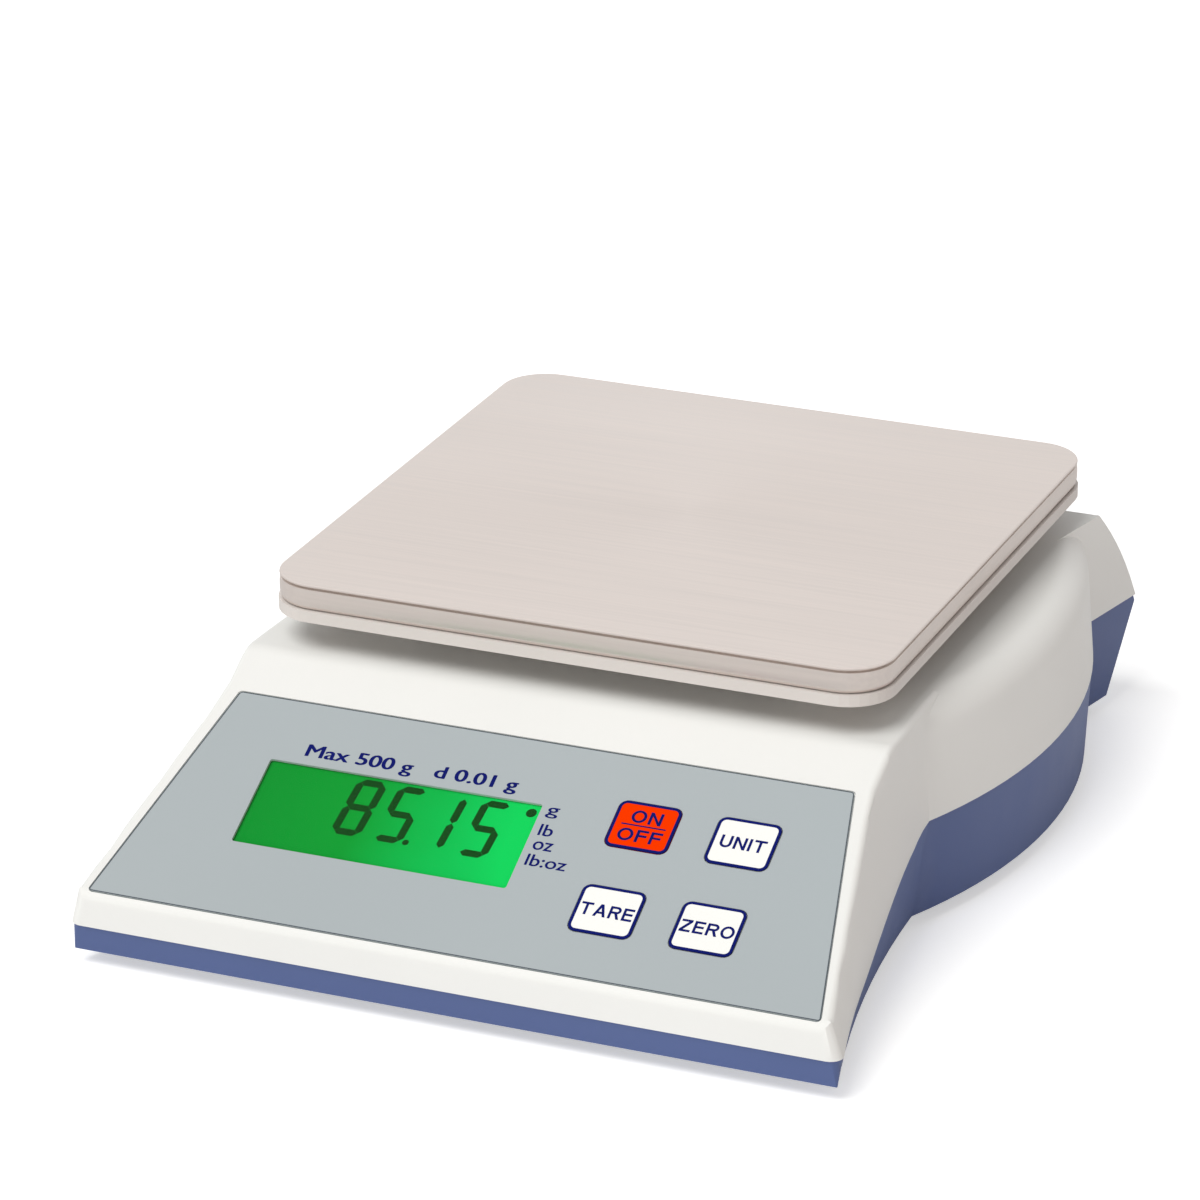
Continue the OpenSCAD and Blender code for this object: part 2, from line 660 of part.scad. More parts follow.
module cell_block() color("silver") translate([fixed_x, pan_y, cell_z - block_t]) difference() {
    translate([-cell_foot, -cell_w/2, 0]) cube([2*cell_foot, cell_w, block_t]);
    for (s = [-1, 1]) translate([s*cell_screw_pitch/2, 0, -1]) cylinder(r = 2 + screw_gap, h = block_t + 2);
}
cell_head_z = base_z + 3.2;
module cell_screws() color("dimgray") for (s = [-1, 1])
    translate([fixed_x + s*cell_screw_pitch/2, pan_y, cell_head_z]) {
        translate([0, 0, -2.8]) difference() {
            cylinder(d = 7, h = 2.8);
            translate([0, 0, -1]) cylinder(d = 3.4, h = 2.6, $fn = 6);
        }
        translate([0, 0, -eps]) cylinder(d = 4, h = cell_z + 8 - cell_head_z + eps);
    }

// Flat leads, each cut from sheet in one level plane; they end at the sockets of the main board
lead_t = 1;
module flat_lead(z, p, w) {
    translate([0, 0, z]) linear_extrude(lead_t) strip(p, w);
}
socket_back = main_y + main_d/2 - 2;
function to_socket(x) = [[x, socket_back + 4], [x, socket_back]];
module cell_cable() color("gray") flat_lead(main_z + board_t + 2.5, concat(
    [[-cell_l/2, pan_y], [-cell_l/2 - 6, pan_y], [-cell_l/2 - 6, socket_back + 10]],
    to_socket(cell_socket_x)), 3);

stop_x = free_x + cell_screw_pitch/2;
stop_top = cell_z - stop_gap;
nut_h = 2.2;
stop_boss_top = stop_top - nut_h - 0.6;
module overload_stop() color("dimgray") translate([stop_x, pan_y, base_z + 0.6]) difference() {
    cylinder(d = 5, h = stop_top - base_z - 0.6);
    translate([0, 0, -1]) cylinder(d = 2.9, h = 3.5, $fn = 6);
}
module overload_nut() color("silver") translate([stop_x, pan_y, stop_boss_top]) difference() {
    cylinder(d = 9.2, h = nut_h, $fn = 6);
    translate([0, 0, -1]) cylinder(r = 2.5 + thread_gap, h = nut_h + 2);
}

// Carrier: four ribbed arms from a hub on the cell's free end to the posts
post_reach = norm([post_x, post_y]);
spigot_d = 5;
module carrier() color("gainsboro") translate([0, pan_y, arm_z]) difference() {
    union() {
        translate([0, 0, -0.5]) cylinder(d = 32, h = arm_t + 1);
        translate([free_x - cell_foot, -cell_w/2, -hub_h])
            cube([2*cell_foot, cell_w, hub_h + arm_t/2]);
        translate([4, -11, 0]) cube([free_x + 8, 22, arm_t]);
        for (sx = [-1, 1], sy = [-1, 1]) rotate(atan2(sy*post_y, sx*post_x)) {
            linear_extrude(arm_t) polygon([[12, -8.5], [post_reach, -6], [post_reach, 6], [12, 8.5]]);
            for (s = [-1, 1]) translate([13, s*4.6 - 1, arm_t/2])
                cube([post_reach - 17, 2, arm_t/2 + arm_rib_h]);
            translate([post_reach, 0, 0]) cylinder(d = 15, h = arm_t + arm_rib_h);
        }
    }
    for (sx = [-1, 1], sy = [-1, 1]) rotate(atan2(sy*post_y, sx*post_x)) {
        translate([post_reach, 0, -1]) cylinder(r = spigot_d/2 + thread_gap, h = arm_t + arm_rib_h + 2);
        // lightening hole
        translate([34, 0, -1]) cylinder(d = 6, h = arm_t + 2);
    }
    for (s = [-1, 1]) translate([free_x + s*cell_screw_pitch/2, 0, -hub_h - 1])
        cylinder(r = 2 + screw_gap, h = hub_h + arm_t + 2);
    translate([-6, 0, -1]) cylinder(d = 14, h = arm_t + 2);
}
module carrier_screws() color("dimgray") for (s = [-1, 1])
    translate([free_x + s*cell_screw_pitch/2, pan_y, arm_z + arm_t]) {
        difference() {
            cylinder(d = 7, h = 2.8);
            translate([0, 0, 1.2]) cylinder(d = 3.4, h = 3, $fn = 6);
        }
        translate([0, 0, -arm_t - hub_h - 8]) cylinder(d = 4, h = arm_t + hub_h + 8 + eps);
    }

module support_posts() color("silver") at_posts() difference() {
    union() {
        translate([0, 0, arm_top]) cylinder(d = post_d, h = post_top - arm_top);
        translate([0, 0, arm_z + 0.5]) cylinder(d = spigot_d, h = arm_top - arm_z);
    }
    translate([0, 0, post_top - 8]) cylinder(r = screw_d/2 + thread_gap, h = 9);
}

// Pan support: a ribbed plate with a skirt and the lip that shows under the pan
skirt_w = pan_w - 2*pan_sheet - 2*pan_side_gap;
skirt_d = pan_d - 2*pan_sheet - 2*pan_side_gap;
skirt_r = pan_r - pan_sheet - pan_side_gap;
post_seat_d = 15;
support_head_d = 5.8;
support_head_h = 2;
rib_t = 2;
module pan_support() color("silver") translate([0, pan_y, 0]) difference() {
    union() {
        difference() {
            union() {
                translate([0, 0, support_z]) linear_extrude(support_top - support_z)
                    polygon(round_box(skirt_w, skirt_d, skirt_r, 8));
                translate([0, 0, support_z]) linear_extrude(lip_h)
                    polygon(round_box(pan_w + 2*lip_proud, pan_d + 2*lip_proud, pan_r + lip_proud, 8));
            }
            translate([0, 0, support_z - 1]) linear_extrude(support_top - support_z - support_t + 1)
                polygon(round_box(skirt_w - 2*support_t, skirt_d - 2*support_t, skirt_r - support_t, 8));
        }
        // ribs under the plate
        for (y = [-post_y, 0, post_y]) translate([-skirt_w/2 + 1, y - rib_t/2, post_top])
            cube([skirt_w - 2, rib_t, support_top - post_top - 1]);
        for (x = [-post_x, 0, post_x]) translate([x - rib_t/2, -skirt_d/2 + 1, post_top])
            cube([rib_t, skirt_d - 2, support_top - post_top - 1]);
        for (sx = [-1, 1], sy = [-1, 1]) translate([sx*post_x, sy*post_y, post_top])
            cylinder(d = post_seat_d, h = support_top - post_top - 1);
    }
    for (sx = [-1, 1], sy = [-1, 1]) {
        translate([sx*post_x, sy*post_y, post_top - 1])
            cylinder(r = screw_d/2 + screw_gap, h = support_top - post_top + 2);
        translate([sx*post_x, sy*post_y, support_top - support_head_h - 0.3])
            cylinder(d = support_head_d + 0.6, h = 5);
        translate([sx*pad_x, sy*pad_y, support_top - pad_in]) cylinder(d = pad_d + 0.4, h = 5);
    }
}
module pan_support_screws() color("dimgray") at_posts()
    translate([0, 0, support_top - support_head_h - 0.3]) {
        cylinder(d = support_head_d, h = support_head_h);
        translate([0, 0, -(support_top - post_top) - 3.5]) cylinder(d = screw_d,
            h = support_top - post_top + 3.5 + eps);
    }
pad_x = pan_w/2 - 14;
pad_y = pan_d/2 - 14;
pad_in = 0.8;
module pan_pads() color("black") for (sx = [-1, 1], sy = [-1, 1])
    translate([sx*pad_x, pan_y + sy*pad_y, support_top - pad_in])
        cylinder(d = pad_d, h = pad_in + pad_proud);

module weighing_pan() color("lightgray") translate([0, pan_y, 0]) difference() {
    translate([0, 0, pan_edge_z]) linear_extrude(pan_side_h)
        polygon(round_box(pan_w, pan_d, pan_r, 10));
    translate([0, 0, pan_edge_z - 1]) linear_extrude(pan_side_h - pan_sheet + 1)
        polygon(round_box(pan_w - 2*pan_sheet, pan_d - 2*pan_sheet, pan_r - pan_sheet, 10));
}

// Levelling feet: stud and thumb wheel turn together, the sole under them only rises and sinks
feet = [[-foot_front_x, front_y + foot_front_back], [foot_front_x, front_y + foot_front_back],
    [-foot_rear_x, front_y + foot_rear_back], [foot_rear_x, front_y + foot_rear_back]];
pocket_d = wheel_d + 3;
pocket_top = sole_t + wheel_h + foot_in + 0.8;
pocket_roof = 2;
insert_h = 8;
insert_d = 9;
insert_boss_d = insert_d + 5;
insert_z = pocket_top + pocket_roof - 1;
stud_z = sole_t + 1;
stud_end = insert_z + insert_h + foot_out - 0.5;
spigot_h = 1;
module at_foot(i) {
    translate([feet[i][0], feet[i][1], 0]) children();
}
module foot_inserts() color("goldenrod") for (i = [0:3]) at_foot(i) translate([0, 0, insert_z])
    difference() {
        cylinder(d = insert_d, h = insert_h);
        translate([0, 0, -1]) cylinder(r = stud_d/2 + thread_gap, h = insert_h + 2);
    }
module stud(i) color("silver") at_foot(i) translate([0, 0, stud_z])
    cylinder(d = stud_d, h = stud_end - stud_z);
module wheel(i) color("dimgray") at_foot(i) translate([0, 0, sole_t]) difference() {
    union() {
        cylinder(d = wheel_d, h = wheel_h);
        translate([0, 0, -spigot_h]) cylinder(d = stud_d, h = spigot_h + eps);
    }
    translate([0, 0, stud_z - sole_t]) cylinder(r = stud_d/2 + thread_gap, h = wheel_h);
    // finger scallops
    for (a = [0:30:330]) rotate(a) translate([wheel_d/2 + 1, 0, -1]) cylinder(d = 3.6, h = wheel_h + 2);
}
module sole(i) color("black") at_foot(i) difference() {
    cylinder(d = sole_d, h = sole_t);
    translate([0, 0, sole_t - spigot_h - 0.2]) cylinder(r = stud_d/2 + 0.15, h = spigot_h + 1);
}
module stud_front_left() stud(0);
module stud_front_right() stud(1);
module stud_rear_left() stud(2);
module stud_rear_right() stud(3);
module wheel_front_left() wheel(0);
module wheel_front_right() wheel(1);
module wheel_rear_left() wheel(2);
module wheel_rear_right() wheel(3);
module sole_front_left() sole(0);
module sole_front_right() sole(1);
module sole_rear_left() sole(2);
module sole_rear_right() sole(3);

// Battery well in the base, with a cover that slides out to the rear
cells = 4;
cell_pitch = cell_aa_d + cell_aa_gap;
well_w = cells*cell_pitch + 1;
contact_room = 2.4;
well_l = cell_aa_l + 2*contact_room;
well_y1 = rear_foot_y - 4.5;
well_y0 = well_y1 - well_l;
cover_top = base_z + cover_t;
well_top = cover_top + cell_aa_d + 1.4;
well_wall = 1.8;
cell_zc = cover_top + cover_gap + cell_aa_d/2;
tongue_t = 1.2;
cover_w = well_w + 1;
cover_y0 = well_y0 - 2;
cover_y1 = rear_foot_y - seam_step - 0.3;

module battery_cover() color("slategray") difference() {
    union() {
        translate([-cover_w/2, cover_y0, base_z]) cube([cover_w, cover_y1 - cover_y0, cover_t]);
        translate([-cover_w/2 - cover_tongue, cover_y0, cover_top - tongue_t])
            cube([cover_w + 2*cover_tongue, cover_y1 - cover_y0, tongue_t]);
    }
    // grip grooves for a finger
    for (i = [0:3]) translate([-12, cover_y1 - 6 - 3*i, base_z - 1]) cube([24, 1.4, 1.7]);
}
module batteries() color("darkseagreen") for (i = [0:cells - 1]) {
    up = i % 2 == 0 ? 1 : -1;
    translate([(i - (cells - 1)/2)*cell_pitch, (well_y0 + well_y1)/2, cell_zc]) rotate([-90*up, 0, 0]) {
        translate([0, 0, -cell_aa_l/2]) cylinder(d = cell_aa_d, h = cell_aa_l - 1.2);
        translate([0, 0, cell_aa_l/2 - 1.2 - eps]) cylinder(d = 5.5, h = 1.2 + eps);
    }
}
// contact plates at both ends of each cell, with a bowed leaf where the cell's flat end bears
module battery_contacts() color("silver") for (i = [0:cells - 1], end = [-1, 1]) {
    flat = (i % 2 == 0 ? 1 : -1)*end < 0;
    translate([(i - (cells - 1)/2)*cell_pitch, (well_y0 + well_y1)/2, cell_zc]) scale([1, end, 1]) {
        translate([-5, cell_aa_l/2 + contact_room - 0.5, -6]) cube([10, 0.5, 12]);
        if (flat) translate([0, cell_aa_l/2 + contact_room - 0.5, 0]) rotate([90, 0, 0])
            cylinder(d1 = 8, d2 = 4, h = contact_room - 0.7);
        else translate([0, cell_aa_l/2 + contact_room - 0.5, 0]) rotate([90, 0, 0])
            cylinder(d = 3, h = contact_room - 0.7);
    }
}

// Power socket in the rear wall of the base
socket_nose_d = 8;
socket_rear = rear_foot_y + (socket_z - socket_nose_d/2 - base_z)*rear_lean - seam_step;
socket_body_w = 9;
socket_body_h = 11;
socket_body_y = rear_foot_y + (socket_z - socket_body_h/2 - base_z)*rear_lean
    - wall*sqrt(1 + rear_lean*rear_lean) - 0.1;
socket_body_l = 13;
module power_socket() color("black") translate([socket_x, 0, socket_z]) {
    difference() {
        union() {
            translate([-socket_body_w/2, socket_body_y - socket_body_l, -socket_body_h/2])
                cube([socket_body_w, socket_body_l, socket_body_h]);
            translate([0, socket_rear, 0]) rotate([90, 0, 0])
                cylinder(d = socket_nose_d, h = socket_rear - socket_body_y + eps);
        }
        translate([0, socket_rear + 1, 0]) rotate([90, 0, 0]) cylinder(d = socket_d, h = 10.5);
    }
    translate([0, socket_rear - 1, 0]) rotate([90, 0, 0]) cylinder(d = 2, h = 9);
}
module power_leads() color("firebrick") for (s = [-1, 1])
    flat_lead(socket_z + 0.2, concat([
        [socket_x + s, socket_body_y - socket_body_l - 0.25],
        [socket_x + 3 + s, socket_body_y - socket_body_l - 10],
        [socket_x + 3 + s, socket_back + 10]], to_socket(power_socket_x + s)), 1.2);
// Leads from the first and the last battery contact, under the load cell
lead_z = main_z + board_t + 0.3;
module battery_leads() color("dimgray") {
    flat_lead(lead_z, [[1.5*cell_pitch, well_y0], [1.5*cell_pitch, socket_back]], 1.2);
    flat_lead(lead_z, [[-1.5*cell_pitch, well_y0], [-1.5*cell_pitch, well_y0 - 6],
        [1.5*cell_pitch - 2.4, well_y0 - 6], [1.5*cell_pitch - 2.4, socket_back]], 1.2);
}

module housing_screws() color("silver") for (p = screw_places, side = [-1, 1])
    translate([side*p[0], p[1], seam_z(p[1]) + join_rise - seat_under]) {
        translate([0, 0, -screw_head_h]) cylinder(d = screw_head_d, h = screw_head_h);
        translate([0, 0, -eps]) cylinder(d = screw_d, h = seat_under + screw_bite + eps);
    }

module lower_housing() color("royalblue") difference() {
    union() {
        difference() {
            union() {
                intersection() {
                    body_form(seam_step);
                    below_seam();
                }
                intersection() {
                    body_form(wall/2 + tongue_gap);
                    below_seam(tongue_h);
                }
            }
            body_form(wall);
        }
        // screw columns
        for (p = screw_places, side = [-1, 1]) translate([side*p[0], p[1], base_z + wall/2])
            cylinder(d = column_d, h = seam_z(p[1]) + join_rise - base_z - wall/2);
        // foot pockets, each with the boss of its brass insert, trimmed by the inside of the walls
        intersection() {
            body_form(wall - eps);
            for (i = [0:3]) at_foot(i) {
                translate([0, 0, base_z + wall/2])
                    cylinder(d = pocket_d + 2*pocket_roof, h = pocket_top + pocket_roof - base_z - wall/2);
                translate([0, 0, pocket_top])
                    cylinder(d = insert_boss_d, h = insert_z + insert_h - pocket_top);
            }
        }
        // seats of the main board, the load cell and its stop
        for (p = main_pins) translate([p[0], p[1], base_z + wall/2])
            cylinder(d = main_boss_d, h = main_z - base_z - wall/2);
        translate([fixed_x - 13, pan_y - cell_w/2 - 2, base_z + wall/2])
            cube([26, cell_w + 4, cell_z - block_t - base_z - wall/2]);
        translate([stop_x, pan_y, base_z + wall/2]) cylinder(d = 13, h = stop_boss_top - base_z - wall/2);
        // stiffening ribs from the cell's seat to the stop
        for (s = [-1, 1]) translate([fixed_x + 10, pan_y + s*5 - 1, base_z + wall/2])
            cube([stop_x - fixed_x - 10, 2, 3 + wall/2]);
        // battery well
        translate([-well_w/2 - well_wall, well_y0 - well_wall, base_z + wall/2])
            cube([well_w + 2*well_wall, well_l + 2*well_wall, well_top + well_wall - base_z - wall/2]);
        translate([-cover_w/2 - cover_tongue - 2, cover_y0 - 2, base_z + wall/2])
            cube([cover_w + 2*cover_tongue + 4, well_y1 + well_wall - cover_y0 + 2, cover_t + 1]);
        // cradle of the power socket
        translate([socket_x - socket_body_w/2 - 1.5, socket_body_y - socket_body_l, base_z + wall/2])
            cube([socket_body_w + 3, socket_body_l - 1.5, socket_z - base_z - wall/2]);
    }
    for (p = screw_places, side = [-1, 1]) translate([side*p[0], p[1], 0]) {
        cylinder(r = screw_d/2 + screw_gap, h = deck_h);
        cylinder(d = screw_head_d + 0.8, h = seam_z(p[1]) + join_rise - seat_under);
    }
    for (i = [0:3]) at_foot(i) {
        cylinder(d = pocket_d, h = pocket_top);
        cylinder(r = stud_d/2 + 0.5, h = deck_h);
        translate([0, 0, insert_z]) cylinder(r = insert_d/2 + thread_gap, h = deck_h);
    }
    for (p = main_pins) translate([p[0], p[1], main_z - 4.5])
        cylinder(r = pin_screw_d/2 + thread_gap, h = 10);
    for (s = [-1, 1]) translate([fixed_x + s*cell_screw_pitch/2, pan_y, 0]) {
        cylinder(r = 2 + screw_gap, h = deck_h);
        cylinder(d = 7.8, h = cell_head_z);
    }
    translate([stop_x, pan_y, 0]) cylinder(r = 2.5 + thread_gap, h = deck_h);
    // inside of the battery well, and the channel of its cover
    translate([-well_w/2, well_y0, 0]) cube([well_w, well_l, well_top]);
    translate([-cover_w/2 - cover_gap, cover_y0 - cover_gap, 0])
        cube([cover_w + 2*cover_gap, body_d, cover_top + 0.2]);
    translate([-cover_w/2 - cover_tongue - cover_gap, cover_y0 - cover_gap, cover_top - tongue_t - 0.2])
        cube([cover_w + 2*cover_tongue + 2*cover_gap, body_d, tongue_t + 0.4]);
    for (s = [-1, 1]) translate([s*1.5*cell_pitch, well_y0 + 1, lead_z + lead_t/2])
        rotate([90, 0, 0]) cylinder(d = 2.2, h = well_wall + 3);
    // seat and hole of the power socket
    translate([
        socket_x - socket_body_w/2 - 0.1, socket_body_y - socket_body_l - 1, socket_z - socket_body_h/2
    ])
        cube([socket_body_w + 0.2, socket_body_l + 1.2, socket_body_h + 2]);
    translate([socket_x, rear_y, socket_z]) rotate([90, 0, 0]) cylinder(d = socket_nose_d + 0.5, h = 14);
}

// Spirit level, dropped into the deck under the pan
level_rim = 1;
level_depth = 8;
module level_cup() color("white") translate([0, level_y, deck_h]) difference() {
    union() {
        cylinder(d = level_d + 4, h = level_rim);
        translate([0, 0, -level_depth]) cylinder(d = level_d, h = level_depth + eps);
    }
    translate([0, 0, -level_depth + 1.5]) cylinder(d = level_d - 3, h = level_depth + 2);
}
module level_window() color("greenyellow", 0.7) translate([0, level_y, deck_h - level_depth + 1.5])
    difference() {
        cylinder(d = level_d - 3.2, h = level_depth - 1.5 + level_rim);
        translate([0, 0, 1]) cylinder(d = level_d - 6, h = level_depth - 3.5 + level_rim);
    }

upper_housing();
lower_housing();
faceplate();
display_window();
lcd_glass();
lcd_backlight();
lcd_frame();
display_board();
tact_switches();
display_board_screws();
display_ribbon();
key_on_off();
key_unit();
key_tare();
key_zero();
plunger_on_off();
plunger_unit();
plunger_tare();
plunger_zero();
main_board();
main_board_parts();
adc_shield();
main_board_screws();
load_cell();
gauge_coating();
cell_block();
cell_screws();
cell_cable();
overload_stop();
overload_nut();
carrier();
carrier_screws();
support_posts();
pan_support();
pan_support_screws();
pan_pads();
weighing_pan();
foot_inserts();
stud_front_left();
stud_front_right();
stud_rear_left();
stud_rear_right();
wheel_front_left();
wheel_front_right();
wheel_rear_left();
wheel_rear_right();
sole_front_left();
sole_front_right();
sole_rear_left();
sole_rear_right();
housing_screws();
battery_cover();
batteries();
battery_contacts();
battery_leads();
power_socket();
power_leads();
level_cup();
level_window();
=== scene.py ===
"""Looks of a top loading balance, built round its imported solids."""

import logging
import math
from dataclasses import dataclass
from enum import Enum

import bmesh
import bpy
from mathutils import Matrix, Vector


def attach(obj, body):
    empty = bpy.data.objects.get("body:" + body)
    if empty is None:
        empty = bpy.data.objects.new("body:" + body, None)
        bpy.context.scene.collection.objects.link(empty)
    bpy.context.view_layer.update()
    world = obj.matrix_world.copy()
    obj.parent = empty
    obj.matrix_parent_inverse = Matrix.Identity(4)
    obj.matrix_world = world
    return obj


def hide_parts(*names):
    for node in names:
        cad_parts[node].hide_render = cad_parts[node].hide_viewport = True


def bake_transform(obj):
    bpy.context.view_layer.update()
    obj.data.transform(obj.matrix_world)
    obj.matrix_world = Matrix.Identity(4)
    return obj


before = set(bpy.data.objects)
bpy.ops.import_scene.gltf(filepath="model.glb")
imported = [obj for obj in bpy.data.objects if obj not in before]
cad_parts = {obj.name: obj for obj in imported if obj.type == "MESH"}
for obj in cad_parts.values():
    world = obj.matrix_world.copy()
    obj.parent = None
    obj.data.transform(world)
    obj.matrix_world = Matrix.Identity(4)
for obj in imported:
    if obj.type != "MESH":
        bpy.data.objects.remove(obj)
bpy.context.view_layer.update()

LOG = logging.getLogger("balance")
MM = 0.001
PRINT = 0.03 * MM  # thickness of a print
NEAR = 0.01 * MM  # lengths that differ by less are taken as equal
WELD = 0.002 * MM  # points that are closer are merged
NOISE_SPAN = (0.25, 0.75)  # what a noise value usually stays within
# the faceplate's length up the slope and its half widths at both ends
PLATE_LENGTH, PLATE_LOW, PLATE_HIGH = 59.5 * MM, 84.3 * MM, 72.2 * MM
# the window's centre on the faceplate, and its size
WINDOW_AT, WINDOW_SIZE = (-25.7 * MM, 31.0 * MM), (64.6 * MM, 23.4 * MM)
# how far a bold legend's copies are shifted, as shares of its weight, and how far they are raised
BOLD_STEPS, BOLD_LIFT = (0.5, 1.0), 0.004 * MM
# widths of the drawn letters, as shares of their height; an I is one stroke wide
LETTER_WIDTHS = {"T": 0.8, "E": 0.7, "F": 0.66, "N": 0.78, "U": 0.76, "Z": 0.72, "O": 0.9, "A": 0.86, "R": 0.78}
SEGMENTS = {"8": "abcdefg", "5": "acdfg", "1": "bc"}  # what each figure of the display lights

Colour = tuple[float, float, float]
Point = tuple[float, float, float]
Mesh = bmesh.types.BMesh
Edge = bmesh.types.BMEdge
Socket = bpy.types.NodeSocket
BUILT: dict[str, bpy.types.Material] = {}  # materials by their finish


# Colours and finishes

def srgb(red: float, green: float, blue: float) -> Colour:
    """Turns a colour as it looks on screen, 0 to 255, into linear values.

    Args:
        red: Red share.
        green: Green share.
        blue: Blue share.

    Returns:
        The linear colour.
    """
    def linear(value: float) -> float:
        """Returns one share in linear light."""
        c = value / 255
        return c / 12.92 if c <= 0.04045 else ((c + 0.055) / 1.055) ** 2.4
    return linear(red), linear(green), linear(blue)


def shade(colour: Colour, factor: float) -> tuple[float, float, float, float]:
    """Returns the colour times factor, with an alpha of 1."""
    return (*[min(1.0, c * factor) for c in colour], 1.0)


class Tree:
    """A small builder for a node tree."""

    def __init__(self, tree: bpy.types.NodeTree) -> None:
        """Keeps the tree."""
        self.tree = tree

    def add(self, kind: str, **values: object) -> bpy.types.Node:
        """Adds a node.

        Args:
            kind: The node's type name, without its ShaderNode prefix.
            **values: Properties of the node, or values of its inputs.

        Returns:
            The new node.
        """
        node = self.tree.nodes.new("ShaderNode" + kind)
        for key, value in values.items():
            if hasattr(node, key):
                setattr(node, key, value)
            else:
                node.inputs[key.replace("_", " ")].default_value = value
        return node

    def link(self, out: Socket, into: Socket) -> None:
        """Links two sockets."""
        self.tree.links.new(out, into)

    def join(self, kind: str, *sockets: Socket, **values: object) -> Socket:
        """Adds a node and links its first inputs.

        Args:
            kind: The node's type name, without its ShaderNode prefix.
            *sockets: What its first inputs read.
            **values: Properties of the node, or values of its inputs.

        Returns:
            Its first output.
        """
        node = self.add(kind, **values)
        for i, socket in enumerate(sockets):
            self.link(socket, node.inputs[i])
        return node.outputs[0]


class Nodes(Tree):
    """A small builder for one material's nodes."""

    def __init__(self, name: str) -> None:
        """Starts a material.

        Args:
            name: The material's name.
        """
        self.material = bpy.data.materials.new(name)
        self.material.use_nodes = True
        super().__init__(self.material.node_tree)
        self.shader = self.tree.nodes["Principled BSDF"]
        self.output = self.tree.nodes["Material Output"]

    def place(self, scale: Point = (1, 1, 1)) -> Socket:
        """Returns object coordinates, scaled along each axis."""
        return self.join("Mapping", self.add("TexCoord").outputs["Object"], Scale=scale)

    def noise(self, vector: Socket, scale: float, detail: float = 3.0) -> Socket:
        """Returns the value of a noise texture."""
        return self.join("TexNoise", vector, Scale=scale, Detail=detail)

    def blend(self, value: Socket, factor: float, plus: Socket) -> Socket:
        """Returns a value times factor, plus another value."""
        node = self.add("Math", operation="MULTIPLY_ADD")
        node.inputs[1].default_value = factor
        self.link(value, node.inputs[0])
        self.link(plus, node.inputs[2])
        return node.outputs[0]

    def ramp(self, value: Socket, stops: list[tuple[float, tuple]]) -> Socket:
        """Adds a colour ramp.

        Args:
            value: What the ramp reads.
            stops: Place and colour of each stop.

        Returns:
            The colour socket.
        """
        node = self.add("ValToRGB")
        elements = node.color_ramp.elements
        elements[0].position, elements[0].color = stops[0]
        elements[1].position, elements[1].color = stops[-1]
        for position, colour in stops[1:-1]:
            elements.new(position).color = colour
        self.link(value, node.inputs["Fac"])
        return node.outputs["Color"]

    def span(self, value: Socket, source: tuple[float, float], target: tuple[float, float]) -> Socket:
        """Returns a value mapped from one range to another."""
        return self.join("MapRange", value, From_Min=source[0], From_Max=source[1], To_Min=target[0],
                         To_Max=target[1])

    def tint(self, value: Socket, tone: Colour, low: float, high: float, reach: float = 0.2) -> None:
        """Colours the surface with a tone that a noise value darkens and lightens.

        Args:
            value: The noise value.
            tone: The tone.
            low: The tone's factor at low values.
            high: Its factor at high values.
            reach: How far low and high values are from 0.5.
        """
        self.colour(self.ramp(value, [(0.5 - reach, shade(tone, low)), (0.5 + reach, shade(tone, high))]))

    def colour(self, out: Socket) -> None:
        """Links the surface colour."""
        self.link(out, self.shader.inputs["Base Color"])

    def rough(self, value: Socket, middle: float, below: float, above: float) -> None:
        """Lets a noise value set the roughness, from below to above the middle."""
        self.link(self.span(value, NOISE_SPAN, (middle - below, middle + above)), self.shader.inputs["Roughness"])

    def bump(self, height: Socket, strength: float, distance: float) -> None:
        """Gives the surface a relief.

        Args:
            height: The relief's height.
            strength: Its strength, 0 to 1.
            distance: Its depth, in metres.
        """
        node = self.add("Bump", Strength=strength, Distance=distance)
        self.link(height, node.inputs["Height"])
        self.link(node.outputs["Normal"], self.shader.inputs["Normal"])

    def fix(self, **values: object) -> None:
        """Sets constant values on the shader's own sockets."""
        for key, value in values.items():
            self.shader.inputs[key.replace("_", " ")].default_value = value


@dataclass(frozen=True)
class Surface:
    """A finish, with its material's name and its tone."""

    name: str
    tone: Colour

    def lay(self, n: Nodes) -> None:
        """Adds the nodes of the finish, each kind in its own way."""
        raise NotImplementedError

    def build(self) -> bpy.types.Material:
        """Makes the material.

        Returns:
            The material.
        """
        n = Nodes(self.name)
        self.lay(n)
        return n.material


@dataclass(frozen=True)
class Moulded(Surface):
    """Moulded plastic or rubber with a fine spark-eroded grain."""

    roughness: float = 0.42
    grain: float = 1500.0
    depth: float = 0.03 * MM
    variation: float = 0.03
    specular: float = 0.4

    def lay(self, n: Nodes) -> None:
        """Adds a faint mottle, a varied gloss and the grain.

        Args:
            n: The material's nodes.
        """
        place = n.place()
        n.tint(n.noise(place, scale=22.0, detail=4.0), self.tone, 1 - self.variation, 1 + self.variation)
        n.rough(n.noise(place, scale=60.0), self.roughness, below=0.05, above=0.06)
        n.bump(n.noise(place, self.grain, detail=2.0), strength=0.35, distance=self.depth)
        n.fix(Specular_IOR_Level=self.specular)


